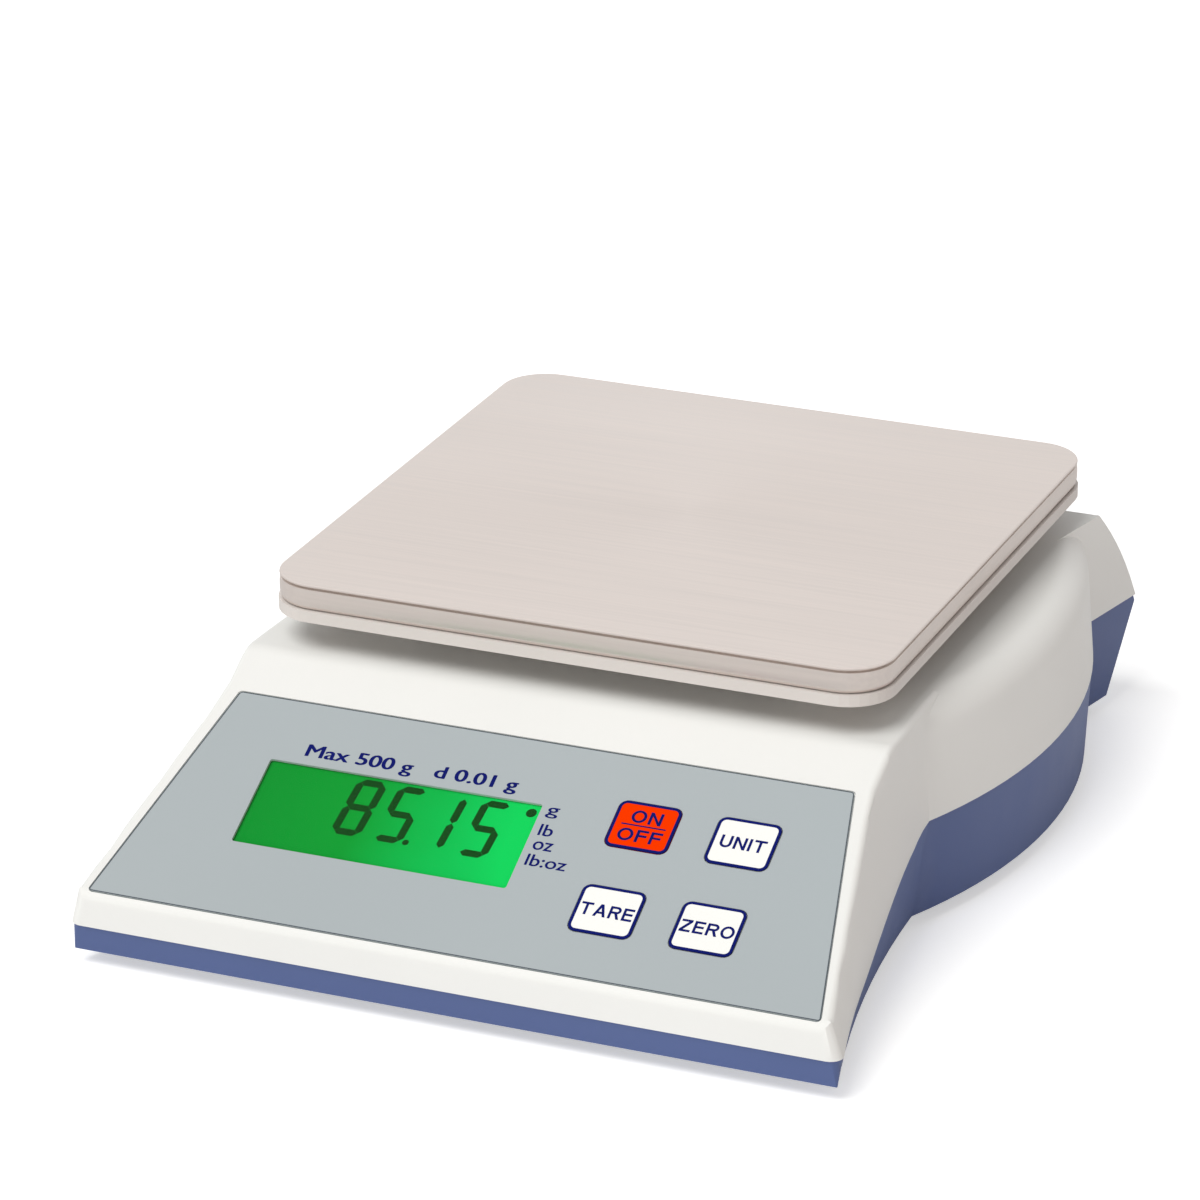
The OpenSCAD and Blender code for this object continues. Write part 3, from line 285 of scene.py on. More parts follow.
@dataclass(frozen=True)
class BrushedSheet(Surface):
    """Sheet metal with brush lines along X."""

    roughness: float = 0.34
    lines: float = 900.0
    variation: float = 0.05
    metallic: float = 0.75
    fine_share: float = 0.7

    def lay(self, n: Nodes) -> None:
        """Adds fine and broad brush lines.

        Args:
            n: The material's nodes.
        """
        fine = n.noise(n.place((0.02, 1.0, 1.0)), self.lines)
        broad = n.noise(n.place((0.2, 1.0, 1.0)), scale=30.0, detail=2.0)
        rest = n.add("Math", operation="MULTIPLY")
        rest.inputs[1].default_value = 1 - self.fine_share
        n.link(broad, rest.inputs[0])
        n.tint(n.blend(fine, self.fine_share, rest.outputs[0]), self.tone, 1 - self.variation, 1 + self.variation)
        n.rough(fine, self.roughness, below=0.06, above=0.08)
        n.bump(fine, strength=0.12, distance=0.02 * MM)
        n.fix(Metallic=self.metallic, Anisotropic=0.4)


@dataclass(frozen=True)
class Metal(Surface):
    """Plain machined, cast or plated metal."""

    roughness: float = 0.3
    grain: float = 500.0
    depth: float = 0.03 * MM

    def lay(self, n: Nodes) -> None:
        """Adds a faint mottle, a varied gloss and the grain.

        Args:
            n: The material's nodes.
        """
        place = n.place()
        n.tint(n.noise(place, scale=120.0), self.tone, 0.92, 1.05)
        n.rough(n.noise(place, scale=250.0), self.roughness, below=0.07, above=0.1)
        n.bump(n.noise(place, self.grain, detail=4.0), strength=0.3, distance=self.depth)
        n.fix(Metallic=1.0)


@dataclass(frozen=True)
class PrintedFilm(Surface):
    """Fine satin film, printed on its back."""

    roughness: float = 0.38
    specular: float = 0.25

    def lay(self, n: Nodes) -> None:
        """Adds an even tone with a satin grain.

        Args:
            n: The material's nodes.
        """
        place = n.place()
        n.tint(n.noise(place, scale=8.0, detail=2.0), self.tone, 0.99, 1.015, reach=0.15)
        n.rough(n.noise(place, scale=90.0), self.roughness, below=0.03, above=0.04)
        n.bump(n.noise(place, scale=2400.0, detail=2.0), strength=0.25, distance=0.01 * MM)
        n.fix(Specular_IOR_Level=self.specular)


@dataclass(frozen=True)
class Ink(Surface):
    """A printed ink, or a dark line painted where a gap's shadow falls."""

    roughness: float = 0.45

    def lay(self, n: Nodes) -> None:
        """Adds a slightly uneven tone."""
        n.tint(n.noise(n.place(), scale=400.0, detail=2.0), self.tone, 0.92, 1.08)
        n.fix(Roughness=self.roughness, Specular_IOR_Level=0.06)


@dataclass(frozen=True)
class Clear(Surface):
    """Clear plastic."""

    roughness: float = 0.03
    ior: float = 1.49

    def lay(self, n: Nodes) -> None:
        """Lets the light through."""
        n.rough(n.noise(n.place(), scale=200.0), self.roughness, below=0.0, above=0.02)
        n.fix(Base_Color=(*self.tone, 1.0), Transmission_Weight=1.0, IOR=self.ior, Specular_IOR_Level=0.5)


@dataclass(frozen=True)
class ClearCover(Surface):
    """A thin clear cover that lets what is under it show unchanged."""

    veil: float = 0.015

    def lay(self, n: Nodes) -> None:
        """Adds a faint veil."""
        n.tint(n.noise(n.place(), scale=180.0), self.tone, 0.97, 1.0)
        n.fix(Alpha=self.veil, Roughness=0.1, Specular_IOR_Level=0.02)


@dataclass(frozen=True)
class LitDisplay(Surface):
    """Display glass lit from its right edge."""

    bright: Colour
    left: float
    right: float
    glow: float = 0.12
    cloud: float = 0.16

    def lay(self, n: Nodes) -> None:
        """Adds a tone that grows brighter to the right, with soft clouds in it.

        Args:
            n: The material's nodes.
        """
        place = n.place()
        split = n.add("SeparateXYZ")
        n.link(place, split.inputs[0])
        along = n.span(split.outputs["X"], (self.left, self.right), (0.0, 1.0))
        cloudy = n.blend(n.noise(place, scale=55.0, detail=2.0), self.cloud, along)
        out = n.ramp(cloudy, [
            (0.0, shade(self.tone, 0.9)), (0.45, shade(self.tone, 1.05)),
            (0.85, shade(self.bright, 0.85)), (1.0, shade(self.bright, 1.0))])
        n.colour(out)
        n.link(out, n.shader.inputs["Emission Color"])
        n.fix(Roughness=0.3, Emission_Strength=self.glow, Specular_IOR_Level=0.03)


@dataclass(frozen=True)
class Board(Surface):
    """Circuit board with fine tracks under its green resist."""

    tracks: float = 260.0
    roughness: float = 0.22

    def lay(self, n: Nodes) -> None:
        """Adds the tracks.

        Args:
            n: The material's nodes.
        """
        place = n.place()
        cells = n.join("TexVoronoi", place, distance="CHEBYCHEV", feature="DISTANCE_TO_EDGE", Scale=self.tracks)
        n.colour(n.ramp(cells, [(0.06, shade(self.tone, 1.7)), (0.12, shade(self.tone, 0.9))]))
        n.rough(n.noise(place, scale=300.0), self.roughness, below=0.0, above=0.13)
        n.bump(cells, strength=0.2, distance=0.04 * MM)


class Finish(Enum):
    """The finishes of the balance's surfaces."""

    WHITE_SHELL = Moulded("white_shell", srgb(243, 243, 240), 0.4, variation=0.012)
    BLUE_SHELL = Moulded("blue_shell", srgb(86, 103, 152), 0.42, variation=0.03)
    FILM = PrintedFilm("faceplate_film", srgb(177, 185, 188))
    WINDOW = ClearCover("clear_window", srgb(150, 205, 170))
    LCD = LitDisplay("lcd_green", srgb(0, 146, 42), srgb(0, 206, 88), -58 * MM, 8.5 * MM)
    LCD_MARK = Ink("lcd_mark", srgb(0, 62, 0), 0.4)
    LIGHT_GUIDE = Moulded("light_guide", srgb(214, 244, 220), 0.3)
    DARK_PLASTIC = Moulded("dark_plastic", srgb(42, 43, 46), 0.5)
    BLACK_PLASTIC = Moulded("black_plastic", srgb(24, 24, 25), 0.45)
    BOARD = Board("circuit_board", srgb(16, 92, 48))
    ZINC = Metal("zinc_steel", srgb(190, 192, 197), 0.28)
    SWITCH = Metal("switch_metal", srgb(182, 184, 190), 0.3)
    RIBBON = Moulded("ribbon_grey", srgb(178, 180, 184), 0.4)
    KEY_ORANGE = PrintedFilm("key_orange", srgb(250, 58, 0), 0.5, 0.0)
    KEY_WHITE = PrintedFilm("key_white", srgb(253, 253, 249), 0.4, 0.2)
    NAVY = Ink("navy_ink", srgb(14, 24, 104))
    # a painted shadow: the dark tone of the narrow gap round the faceplate
    GAP_SHADOW = Ink("painted_gap_shadow", srgb(84, 92, 100))
    BAR = Metal("machined_aluminium", srgb(206, 208, 212), 0.3)
    COATING = Moulded("silicone_coating", srgb(228, 226, 216), 0.5)
    DARK_STEEL = Metal("dark_steel", srgb(70, 71, 74), 0.38)
    CABLE_GREY = Moulded("cable_grey", srgb(128, 129, 133), 0.5)
    CABLE_RED = Moulded("cable_red", srgb(178, 32, 30), 0.45)
    CAST = Metal("cast_aluminium", srgb(178, 179, 182), 0.5, 300.0, 0.12 * MM)
    SUPPORT = Moulded("silver_support", srgb(222, 215, 210), 0.35, variation=0.015)
    RUBBER = Moulded("black_rubber", srgb(36, 36, 37), 0.75, 900.0, 0.06 * MM)
    PAN = BrushedSheet("brushed_pan", srgb(222, 212, 206))
    BRASS = Metal("insert_brass", srgb(214, 176, 96), 0.28)
    JACKET = Moulded("battery_jacket", srgb(58, 62, 68), 0.3)
    SPRING = Metal("spring_plate", srgb(200, 197, 188), 0.25)
    LEVEL = Clear("level_green", (0.62, 0.95, 0.3), 0.04)

    @property
    def material(self) -> bpy.types.Material:
        """The finish's material, built once."""
        if self.name not in BUILT:
            BUILT[self.name] = self.value.build()
        return BUILT[self.name]


# Mesh helpers

def share(value: float, start: float, end: float) -> float:
    """Returns how far value is on the way from start to end, 0 to 1."""
    return min(max((value - start) / (end - start), 0.0), 1.0)


def between(start: float, end: float, part: float) -> float:
    """Returns the value that lies a part of the way from start to end."""
    return start + (end - start) * part


def merged(node: str, corner: float = 0.5) -> Mesh:
    """Copies a node's mesh, merges its loose triangles and dissolves flat edges.

    Args:
        node: The node's name.
        corner: Angle in degrees under which neighbouring faces count as flat.

    Returns:
        The merged mesh.
    """
    bm = bmesh.new()
    bm.from_mesh(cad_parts[node].data)
    bmesh.ops.remove_doubles(bm, verts=bm.verts, dist=WELD)
    bmesh.ops.dissolve_degenerate(bm, dist=WELD, edges=bm.edges)
    bmesh.ops.dissolve_limit(bm, angle_limit=math.radians(corner), verts=bm.verts, edges=bm.edges)
    bm.normal_update()
    return bm


def sharp(bm: Mesh, angle: float = 30.0) -> list[Edge]:
    """Returns the outward edges sharper than angle degrees."""
    limit = math.radians(angle)
    return [e for e in bm.edges if len(e.link_faces) == 2 and e.calc_face_angle_signed(0.0) > limit]


def soften(bm: Mesh, edges: list[Edge], width: float, segments: int = 3, clamp: bool = True) -> None:
    """Rounds edges.

    Args:
        bm: The mesh.
        edges: The edges to round.
        width: The round's width, in metres.
        segments: Steps across the round.
        clamp: Whether the shortest neighbour limits the width.
    """
    bmesh.ops.bevel(bm, geom=edges, offset=width, offset_type="OFFSET", segments=segments, profile=0.5,
                    affect="EDGES", clamp_overlap=clamp, material=-1, loop_slide=True)
    bm.normal_update()


def cut(bm: Mesh, place: Point, normal: Point) -> None:
    """Cuts the faces where they cross a plane."""
    bmesh.ops.bisect_plane(bm, geom=bm.verts[:] + bm.edges[:] + bm.faces[:], dist=1e-7, plane_co=place,
                           plane_no=normal)


def shift(bm: Mesh, made: dict[str, list], way: Point) -> None:
    """Moves the points that an operator has just made."""
    points = [v for v in made["geom"] if isinstance(v, bmesh.types.BMVert)]
    bmesh.ops.translate(bm, verts=points, vec=way)


def placed(name: str, data: bpy.types.ID) -> bpy.types.Object:
    """Adds an object to the scene.

    Args:
        name: Its name.
        data: Its mesh, curve, camera or lamp.

    Returns:
        The object.
    """
    thing = bpy.data.objects.new(name, data)
    bpy.context.scene.collection.objects.link(thing)
    return thing


def dress(name: str, bm: Mesh, finish: Finish, body: str,
          stands_for: tuple[str, ...] = (), smooth: float = 35.0, weigh: bool = False,
          bends: tuple[Vector, Vector] | None = None) -> bpy.types.Object:
    """Turns a mesh into a finished piece that rides on a body.

    Args:
        name: The piece's name.
        bm: Its mesh, in place; it is freed.
        finish: Its finish.
        body: The body that it rides on.
        stands_for: The nodes that it replaces.
        smooth: Edges under this angle are shaded smooth.
        weigh: Whether large faces keep their own direction beside small ones.
        bends: Points for a piece that would bend; if given, the piece is baked in place instead of riding on the
            body, and the points themselves are not used.

    Returns:
        The piece.
    """
    mesh = bpy.data.meshes.new(name)
    bm.normal_update()
    limit = math.radians(smooth)
    for face in bm.faces:
        face.smooth = True
    for edge in bm.edges:
        edge.smooth = len(edge.link_faces) == 2 and edge.calc_face_angle(math.pi) < limit
    bm.to_mesh(mesh)
    bm.free()
    mesh.materials.append(finish.material)
    piece = placed(name, mesh)
    if weigh:
        weigh_normals(piece)
    if bends:
        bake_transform(piece)
    else:
        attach(piece, body)
    if stands_for:
        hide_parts(*stands_for)
    LOG.info("piece %s on %s, %d faces", name, body, len(piece.data.polygons))
    return piece


def weigh_normals(piece: bpy.types.Object) -> None:
    """Shades a piece's rounds without bending the flat faces beside them.

    Args:
        piece: The piece, whose mesh is replaced.
    """
    weights = piece.modifiers.new("weights", "WEIGHTED_NORMAL")
    weights.keep_sharp = True
    evaluated = piece.evaluated_get(bpy.context.evaluated_depsgraph_get())
    shaded = bpy.data.meshes.new_from_object(evaluated)
    rough = piece.data
    piece.modifiers.clear()
    piece.data = shaded
    bpy.data.meshes.remove(rough)


def paint(**nodes: Finish) -> None:
    """Gives CAD nodes their finishes.

    Args:
        **nodes: The nodes' names and their finishes.
    """
    for name, finish in nodes.items():
        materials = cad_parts[name].data.materials
        materials.clear()
        materials.append(finish.material)


@dataclass(frozen=True)
class Slope:
    """The plane of the sloping front: x across, y up the slope, z out of it."""

    front: float = -116 * MM
    edge: float = 17.4 * MM
    angle: float = math.radians(27.8)
    plate_v: float = 1.4 * MM

    def matrix(self, u: float = 0.0, v: float = 0.0, out: float = 0.0) -> Matrix:
        """Returns the place u across, v above the faceplate's lower edge and out of the slope."""
        return (Matrix.Translation((0, self.front, self.edge)) @ Matrix.Rotation(self.angle, 4, "X")
                @ Matrix.Translation((u, v + self.plate_v, out)))

    def lay(self, bm: Mesh, u: float, v: float, out: float = 0.0) -> Mesh:
        """Lays a flat mesh on the slope and returns it."""
        bmesh.ops.transform(bm, matrix=self.matrix(u, v, out), verts=bm.verts)
        return bm

    def up(self, y: float) -> float:
        """Returns how far up the faceplate a point of the slope is."""
        return (y - self.front) / math.cos(self.angle) - self.plate_v

    def height(self, y: float) -> float:
        """Returns the slope's height at y."""
        return self.edge + (y - self.front) * math.tan(self.angle)


SLOPE = Slope()


class Align(Enum):
    """Where a legend stands on its point."""

    LEFT = "LEFT"
    CENTRE = "CENTER"


@dataclass(frozen=True)
class Lettering:
    """Plain capitals of even strokes, one unit tall."""

    stroke: float = 0.175
    space: float = 0.15
    steps: int = 24
    # a slanted stroke's width along the edge of N, Z and A, in strokes
    slant_n: float = 1.7
    slant_z: float = 1.35
    slant_a: float = 1.1
    middle: float = 0.52  # centre of the middle bar of E and F
    shorter: float = 0.05  # how much shorter that bar is
    bowl: float = 0.36  # height of the round foot of U
    over: float = 0.01  # how far O goes past the other letters
    peak: float = 0.72  # inner tip of A
    rung: float = 0.24  # foot of the bar of A
    rung_in: float = 0.26  # where it starts
    rung_thick: float = 0.9  # its thickness, in strokes
    waist: float = 0.42  # foot of the round of R
    cheek: float = 0.3  # width of that round
    leg: float = 0.2  # width of the leg of R

    def bar(self, bm: Mesh, x0: float, y0: float, x1: float, y1: float) -> None:
        """Adds an upright rectangle."""
        self.quad(bm, (x0, y0), (x1, y0), (x1, y1), (x0, y1))

    def quad(self, bm: Mesh, *corners: tuple[float, float]) -> None:
        """Adds a face through corners, listed anticlockwise."""
        bm.faces.new([bm.verts.new((x, y, 0)) for x, y in corners])

    def arc(self, bm: Mesh, centre: tuple[float, float], radii: tuple[float, float], start: float,
            turn: float) -> None:
        """Adds a curved stroke.

        Args:
            bm: The word's mesh.
            centre: The curve's centre.
            radii: Its outer radii across and up.
            start: Its first angle in degrees.
            turn: How far it turns, in degrees.
        """
        rows = []
        count = max(6, round(self.steps * turn / 360))
        for i in range(count + 1):
            a = math.radians(start + turn * i / count)
            rows.append([bm.verts.new((centre[0] + (radii[0] - s) * math.cos(a),
                                       centre[1] + (radii[1] - s) * math.sin(a), 0)) for s in (0.0, self.stroke)])
        for one, two in zip(rows, rows[1:]):
            bm.faces.new((one[0], two[0], two[1], one[1]))

    def letter(self, bm: Mesh, sign: str, x: float) -> float:
        """Draws one letter.

        Args:
            bm: The word's mesh.
            sign: The letter.
            x: Its left edge.

        Returns:
            Its width.
        """
        s = self.stroke
        wide = LETTER_WIDTHS.get(sign, s)
        end, centre = x + wide, x + wide / 2
        n, z, a = self.slant_n * s, self.slant_z * s, self.slant_a * s
        if sign in "IEFNR":
            self.bar(bm, x, 0, x + s, 1)
        if sign in "TZEF":
            self.bar(bm, x + (s if sign in "EF" else 0), 1 - s, end, 1)
        if sign in "EF":
            self.bar(bm, x + s, self.middle - s / 2, end - self.shorter, self.middle + s / 2)
        if sign in "EZ":
            self.bar(bm, x + (s if sign == "E" else 0), 0, end, s)
        if sign == "T":
            self.bar(bm, centre - s / 2, 0, centre + s / 2, 1 - s)
        if sign == "N":
            self.bar(bm, end - s, 0, end, 1)
            self.quad(bm, (x + s, 1 - n), (end - s, 0), (end - s, n), (x + s, 1))
        if sign == "Z":
            self.quad(bm, (x, s), (x + z, s), (end, 1 - s), (end - z, 1 - s))
        if sign == "U":
            self.bar(bm, x, self.bowl, x + s, 1)
            self.bar(bm, end - s, self.bowl, end, 1)
            self.arc(bm, (centre, self.bowl), (wide / 2, self.bowl), 180, 180)
        if sign == "O":
            self.arc(bm, (centre, 0.5), (wide / 2, 0.5 + self.over), 0, 360)
        if sign == "A":
            self.quad(bm, (x, 0), (x + a, 0), (centre, self.peak), (centre, 1), (centre - a / 2, 1))
            self.quad(bm, (end, 0), (centre + a / 2, 1), (centre, 1), (centre, self.peak), (end - a, 0))
            self.bar(bm, x + self.rung_in, self.rung, end - self.rung_in, self.rung + self.rung_thick * s)
        if sign == "R":
            turn, radius = end - self.cheek, (1 - self.waist) / 2
            self.bar(bm, x + s, 1 - s, turn, 1)
            self.bar(bm, x + s, self.waist, turn, self.waist + s)
            self.arc(bm, (turn, self.waist + radius), (radius, radius), -90, 180)
            foot = end - self.leg
            self.quad(bm, (foot - self.leg, self.waist), (foot, 0), (end, 0), (foot, self.waist))
        return wide

    def word(self, words: str) -> Mesh:
        """Draws a word, flat.

        Args:
            words: The word.

        Returns:
            Its mesh.
        """
        bm = bmesh.new()
        x = 0.0
        for sign in words:
            x += self.letter(bm, sign, x) + self.space
        return bm


@dataclass(frozen=True)
class Legend:
    """A printed word, as a thin raised print."""

    name: str
    words: str
    u: float
    v: float
    height: float
    width: float
    align: Align = Align.CENTRE
    weight: float = 0.0
    drawn: bool = False

    def typed(self) -> Mesh:
        """Sets the words in the built-in type.

        Returns:
            Their flat mesh.
        """
        curve = bpy.data.curves.new(self.name, "FONT")
        curve.body = self.words
        curve.size = 1.0
        curve.resolution_u = 4
        curve.fill_mode = "FRONT"
        text = placed(self.name + "_text", curve)
        bpy.context.view_layer.update()
        flat = bpy.data.meshes.new_from_object(text.evaluated_get(bpy.context.evaluated_depsgraph_get()))
        bpy.data.objects.remove(text)
        bpy.data.curves.remove(curve)
        bm = bmesh.new()
        bm.from_mesh(flat)
        bpy.data.meshes.remove(flat)
        return bm

    def build(self, out: float, finish: Finish, body: str, slot: str) -> bpy.types.Object:
        """Makes the print.

        Args:
            out: Height of the printed surface out of the slope, in metres.
            finish: The ink.
            body: The body that it rides on.
            slot: Not used.

        Returns:
            The piece.
        """
        bm = Lettering().word(self.words) if self.drawn else self.typed()
        low = Vector((min(v.co.x for v in bm.verts), min(v.co.y for v in bm.verts), 0))
        high = Vector((max(v.co.x for v in bm.verts), max(v.co.y for v in bm.verts), 0))
        size = high - low
        start = low if self.align is Align.LEFT else Vector(((low.x + high.x) / 2, low.y, 0))
        bmesh.ops.translate(bm, verts=bm.verts, vec=-start)
        bmesh.ops.scale(bm, verts=bm.verts, vec=(self.width / size.x, self.height / size.y, 1))
        bmesh.ops.remove_doubles(bm, verts=bm.verts, dist=1e-6)
        raise_flat(bm, PRINT)
        single = bm.verts[:] + bm.edges[:] + bm.faces[:]
        for step in BOLD_STEPS if self.weight else ():
            shift(bm, bmesh.ops.duplicate(bm, geom=single),
                  (self.weight * step, self.weight * (step - 0.5) / 2, step * BOLD_LIFT))
        return dress(self.name, SLOPE.lay(bm, self.u, self.v, out), finish, body, smooth=20.0)


def rounded_flat(width: float, height: float, radius: float, top_width: float | None = None) -> Mesh:
    """Makes one flat face with rounded corners, centred on its plane.

    Args:
        width: Size along X at the lower edge.
        height: Size along Y.
        radius: Corner radius.
        top_width: Size along X at the upper edge, where it differs.

    Returns:
        The mesh.
    """
    bm = bmesh.new()
    bmesh.ops.create_grid(bm, x_segments=1, y_segments=1, size=0.5)
    bmesh.ops.scale(bm, verts=bm.verts, vec=(width, height, 1))
    if top_width is not None:
        upper = [v for v in bm.verts if v.co.y > 0]
        bmesh.ops.scale(bm, verts=upper, vec=(top_width / width, 1, 1))
    bmesh.ops.bevel(bm, geom=bm.verts[:], offset=radius, offset_type="OFFSET", segments=6, profile=0.5,
                    affect="VERTICES", clamp_overlap=True, material=-1)
    return bm


def raise_flat(bm: Mesh, thick: float) -> Mesh:
    """Gives flat faces a thickness along Z.

    Args:
        bm: The flat mesh.
        thick: The thickness.

    Returns:
        The same mesh, closed.
    """
    shift(bm, bmesh.ops.extrude_face_region(bm, geom=bm.faces[:]), (0, 0, thick))
    bmesh.ops.recalc_face_normals(bm, faces=bm.faces)
    return bm


def outline(bm: Mesh, line: float, thick: float) -> Mesh:
    """Turns one flat face into the raised line along its edge.

    Args:
        bm: The flat mesh.
        line: Width of the line.
        thick: Its thickness along Z.

    Returns:
        The same mesh, closed.
    """
    bmesh.ops.inset_region(bm, faces=bm.faces[:], thickness=line, use_boundary=True, use_even_offset=True)
    middle = max(bm.faces, key=lambda f: f.calc_area())
    bmesh.ops.delete(bm, geom=[middle], context="FACES_ONLY")
    return raise_flat(bm, thick)


# Sub-assemblies

@dataclass
class Shells:
    """Upper and lower housing, with their outer edges softened."""

    crease: float = 1.3 * MM
    back_edge: float = 1.4 * MM
    fold: float = 25.0  # angle in degrees from which an edge counts as sharp
    # the creases lie further out than this and before the rear, or else before the front
    beyond: float = 70 * MM
    front: float = -111 * MM
    rear: float = 70 * MM
    back_low: float = 26 * MM
    # limits of the normals that tell the faces beside an edge: the top's, the sides', the front's and the back's
    upward: float = 0.85
    top_aside: float = 0.05
    outward: float = 0.6
    steep: float = 0.6
    forward: float = 0.2
    backward: float = 0.5
    back_aside: float = 0.1
    # the creases' distance from the faceplate's edge at its lower and upper end
    gap_low: float = 2.4 * MM
    gap_high: float = 4.0 * MM
    # where drawing in starts to fade, and where it ends
    drawn_full: float = -58 * MM
    drawn_end: float = -25 * MM
    deck: float = 52 * MM
    low_share: float = 0.56  # nothing is drawn in below this share of the crease's height
    wall: float = 3.0 * MM

    def creases(self, bm: Mesh) -> list[Edge]:
        """Finds the edges between the slope or the deck and the sides.

        Args:
            bm: The upper housing.

        Returns:
            The edges.
        """
        found = []
        for edge in sharp(bm, self.fold):
            x, y, _ = edge.verts[0].co
            side, top = sorted(edge.link_faces, key=lambda f: f.normal.z)
            out = side.normal.x * math.copysign(1.0, x)
            beside = self.beyond < abs(x) and y < self.rear and out > self.outward
            before = max(v.co.y for v in edge.verts) < self.front and side.normal.y < -self.forward
            if top.normal.z > self.upward and abs(top.normal.x) < self.top_aside and (beside or before):
                found.append(edge)
        return found

    def draw_in(self, bm: Mesh, edges: list[Edge]) -> None:
        """Draws the walls' upper parts in, so that the creases run straight beside the faceplate.

        Args:
            bm: The upper housing.
            edges: Its crease edges.
        """
        sides = {f for e in edges for f in e.link_faces if f.normal.z < self.steep}
        bmesh.ops.triangulate(bm, faces=list(sides))
        ends = {v for e in edges for v in e.verts if abs(v.co.x) > self.beyond}
        line = sorted((v.co.y, abs(v.co.x)) for v in ends)
        for vert in bm.verts:
            x, y, z = vert.co
            if abs(x) < self.beyond or y > self.drawn_end:
                continue
            after = next((i for i, (at, _) in enumerate(line) if at >= y), len(line) - 1)
            (y0, x0), (y1, x1) = line[max(after - 1, 0)], line[after]
            crease = between(x0, x1, share(y, y0, max(y1, y0 + 1e-6)))
            up = share(SLOPE.up(y), 0.0, PLATE_LENGTH)
            target = between(PLATE_LOW, PLATE_HIGH, up) + between(self.gap_low, self.gap_high, up)
            fade = share(y, self.drawn_end, self.drawn_full)
            rise = share(z / min(SLOPE.height(y), self.deck), self.low_share, 1.0)
            # bosses and ribs further in than the wall stay where they are
            outer = share(abs(x) - crease + self.wall + MM, 0.0, MM)
            vert.co.x -= math.copysign(max(crease - target, 0.0) * fade * rise * outer, x)

    def back_edges(self, bm: Mesh) -> list[Edge]:
        """Finds the edges round the rear block's back.

        Args:
            bm: The upper housing.

        Returns:
            The edges.
        """
        found = []
        for edge in sharp(bm, self.fold):
            backs = [f for f in edge.link_faces if f.normal.y > self.backward and abs(f.normal.x) < self.back_aside]
            if len(backs) == 1 and all(v.co.y > self.rear and v.co.z > self.back_low for v in edge.verts):
                found.append(edge)
        return found

    def build(self) -> None:
        """Makes both shells."""
        bm = merged("upper_housing")
        edges = self.creases(bm)
        self.draw_in(bm, edges)
        soften(bm, edges, self.crease, segments=4, clamp=False)
        soften(bm, self.back_edges(bm), self.back_edge)
        dress("shell_upper", bm, Finish.WHITE_SHELL, "housing", ("upper_housing",), 32.0, weigh=True)
        bm = merged("lower_housing")
        dress("shell_lower", bm, Finish.BLUE_SHELL, "housing", ("lower_housing",), 32.0, weigh=True)
        paint(battery_cover=Finish.BLUE_SHELL, housing_screws=Finish.ZINC)


@dataclass
class Faceplate:
    """The printed plate on the slope, the dark line painted round its edge for the gap's shadow, and its legends."""

    corner: float = 0.7 * MM
    # width of the painted shadow line round the plate
    gap_shadow_width: float = 0.22 * MM
    solid_corner: float = 2.4 * MM
    window_corner: float = 0.6 * MM
    legends: tuple[Legend, ...] = (
        Legend("unit_g", "g", 8.0 * MM, 39.4 * MM, 2.9 * MM, 2.7 * MM, Align.LEFT, 0.12 * MM),
        Legend("unit_lb", "lb", 8.2 * MM, 34.5 * MM, 3.1 * MM, 3.1 * MM, Align.LEFT, 0.12 * MM),
        Legend("unit_oz", "oz", 8.3 * MM, 30.6 * MM, 2.3 * MM, 4.4 * MM, Align.LEFT, 0.12 * MM),
        Legend("unit_lb_oz", "lb:oz", 8.2 * MM, 26.2 * MM, 3.1 * MM, 9.2 * MM, Align.LEFT, 0.12 * MM),
        Legend("range_legend", "Max 500 g   d 0.01 g", -25.9 * MM, 43.9 * MM, 4.4 * MM, 50 * MM, weight=0.3 * MM),
    )

    def plate(self) -> None:
        """Makes the plate with tighter corners round its window."""
        bm = merged("faceplate")
        place = SLOPE.matrix(*WINDOW_AT)
        back = place.inverted()
        half, r = Vector(WINDOW_SIZE) / 2, self.solid_corner
        for vert in bm.verts:
            at = back @ vert.co
            arc = Vector((abs(at.x) - half.x + r, abs(at.y) - half.y + r))
            if min(arc) < -1e-6 or abs(arc.length - r) > 5 * NEAR:
                continue
            way = arc.normalized() * self.window_corner
            at.x = math.copysign(half.x - self.window_corner + way.x, at.x)
            at.y = math.copysign(half.y - self.window_corner + way.y, at.y)
            vert.co = place @ at
        dress("plate_film", bm, Finish.FILM, "housing", ("faceplate",), 25.0)

    def build(self) -> None:
        """Dresses the plate, paints the shadow line round it and prints its legends."""
        self.plate()
        # a dark line round the plate's edge is painted shade, where the gap round the plate is in shadow
        line = outline(rounded_flat(2 * PLATE_LOW, PLATE_LENGTH, self.corner, 2 * PLATE_HIGH), self.gap_shadow_width, PRINT)
        dress("faceplate_gap_shadow", SLOPE.lay(line, 0.0, PLATE_LENGTH / 2), Finish.GAP_SHADOW, "housing",
              smooth=20.0)
        for legend in self.legends:
            legend.build(0.0, Finish.NAVY, "housing", "faceplate_film")


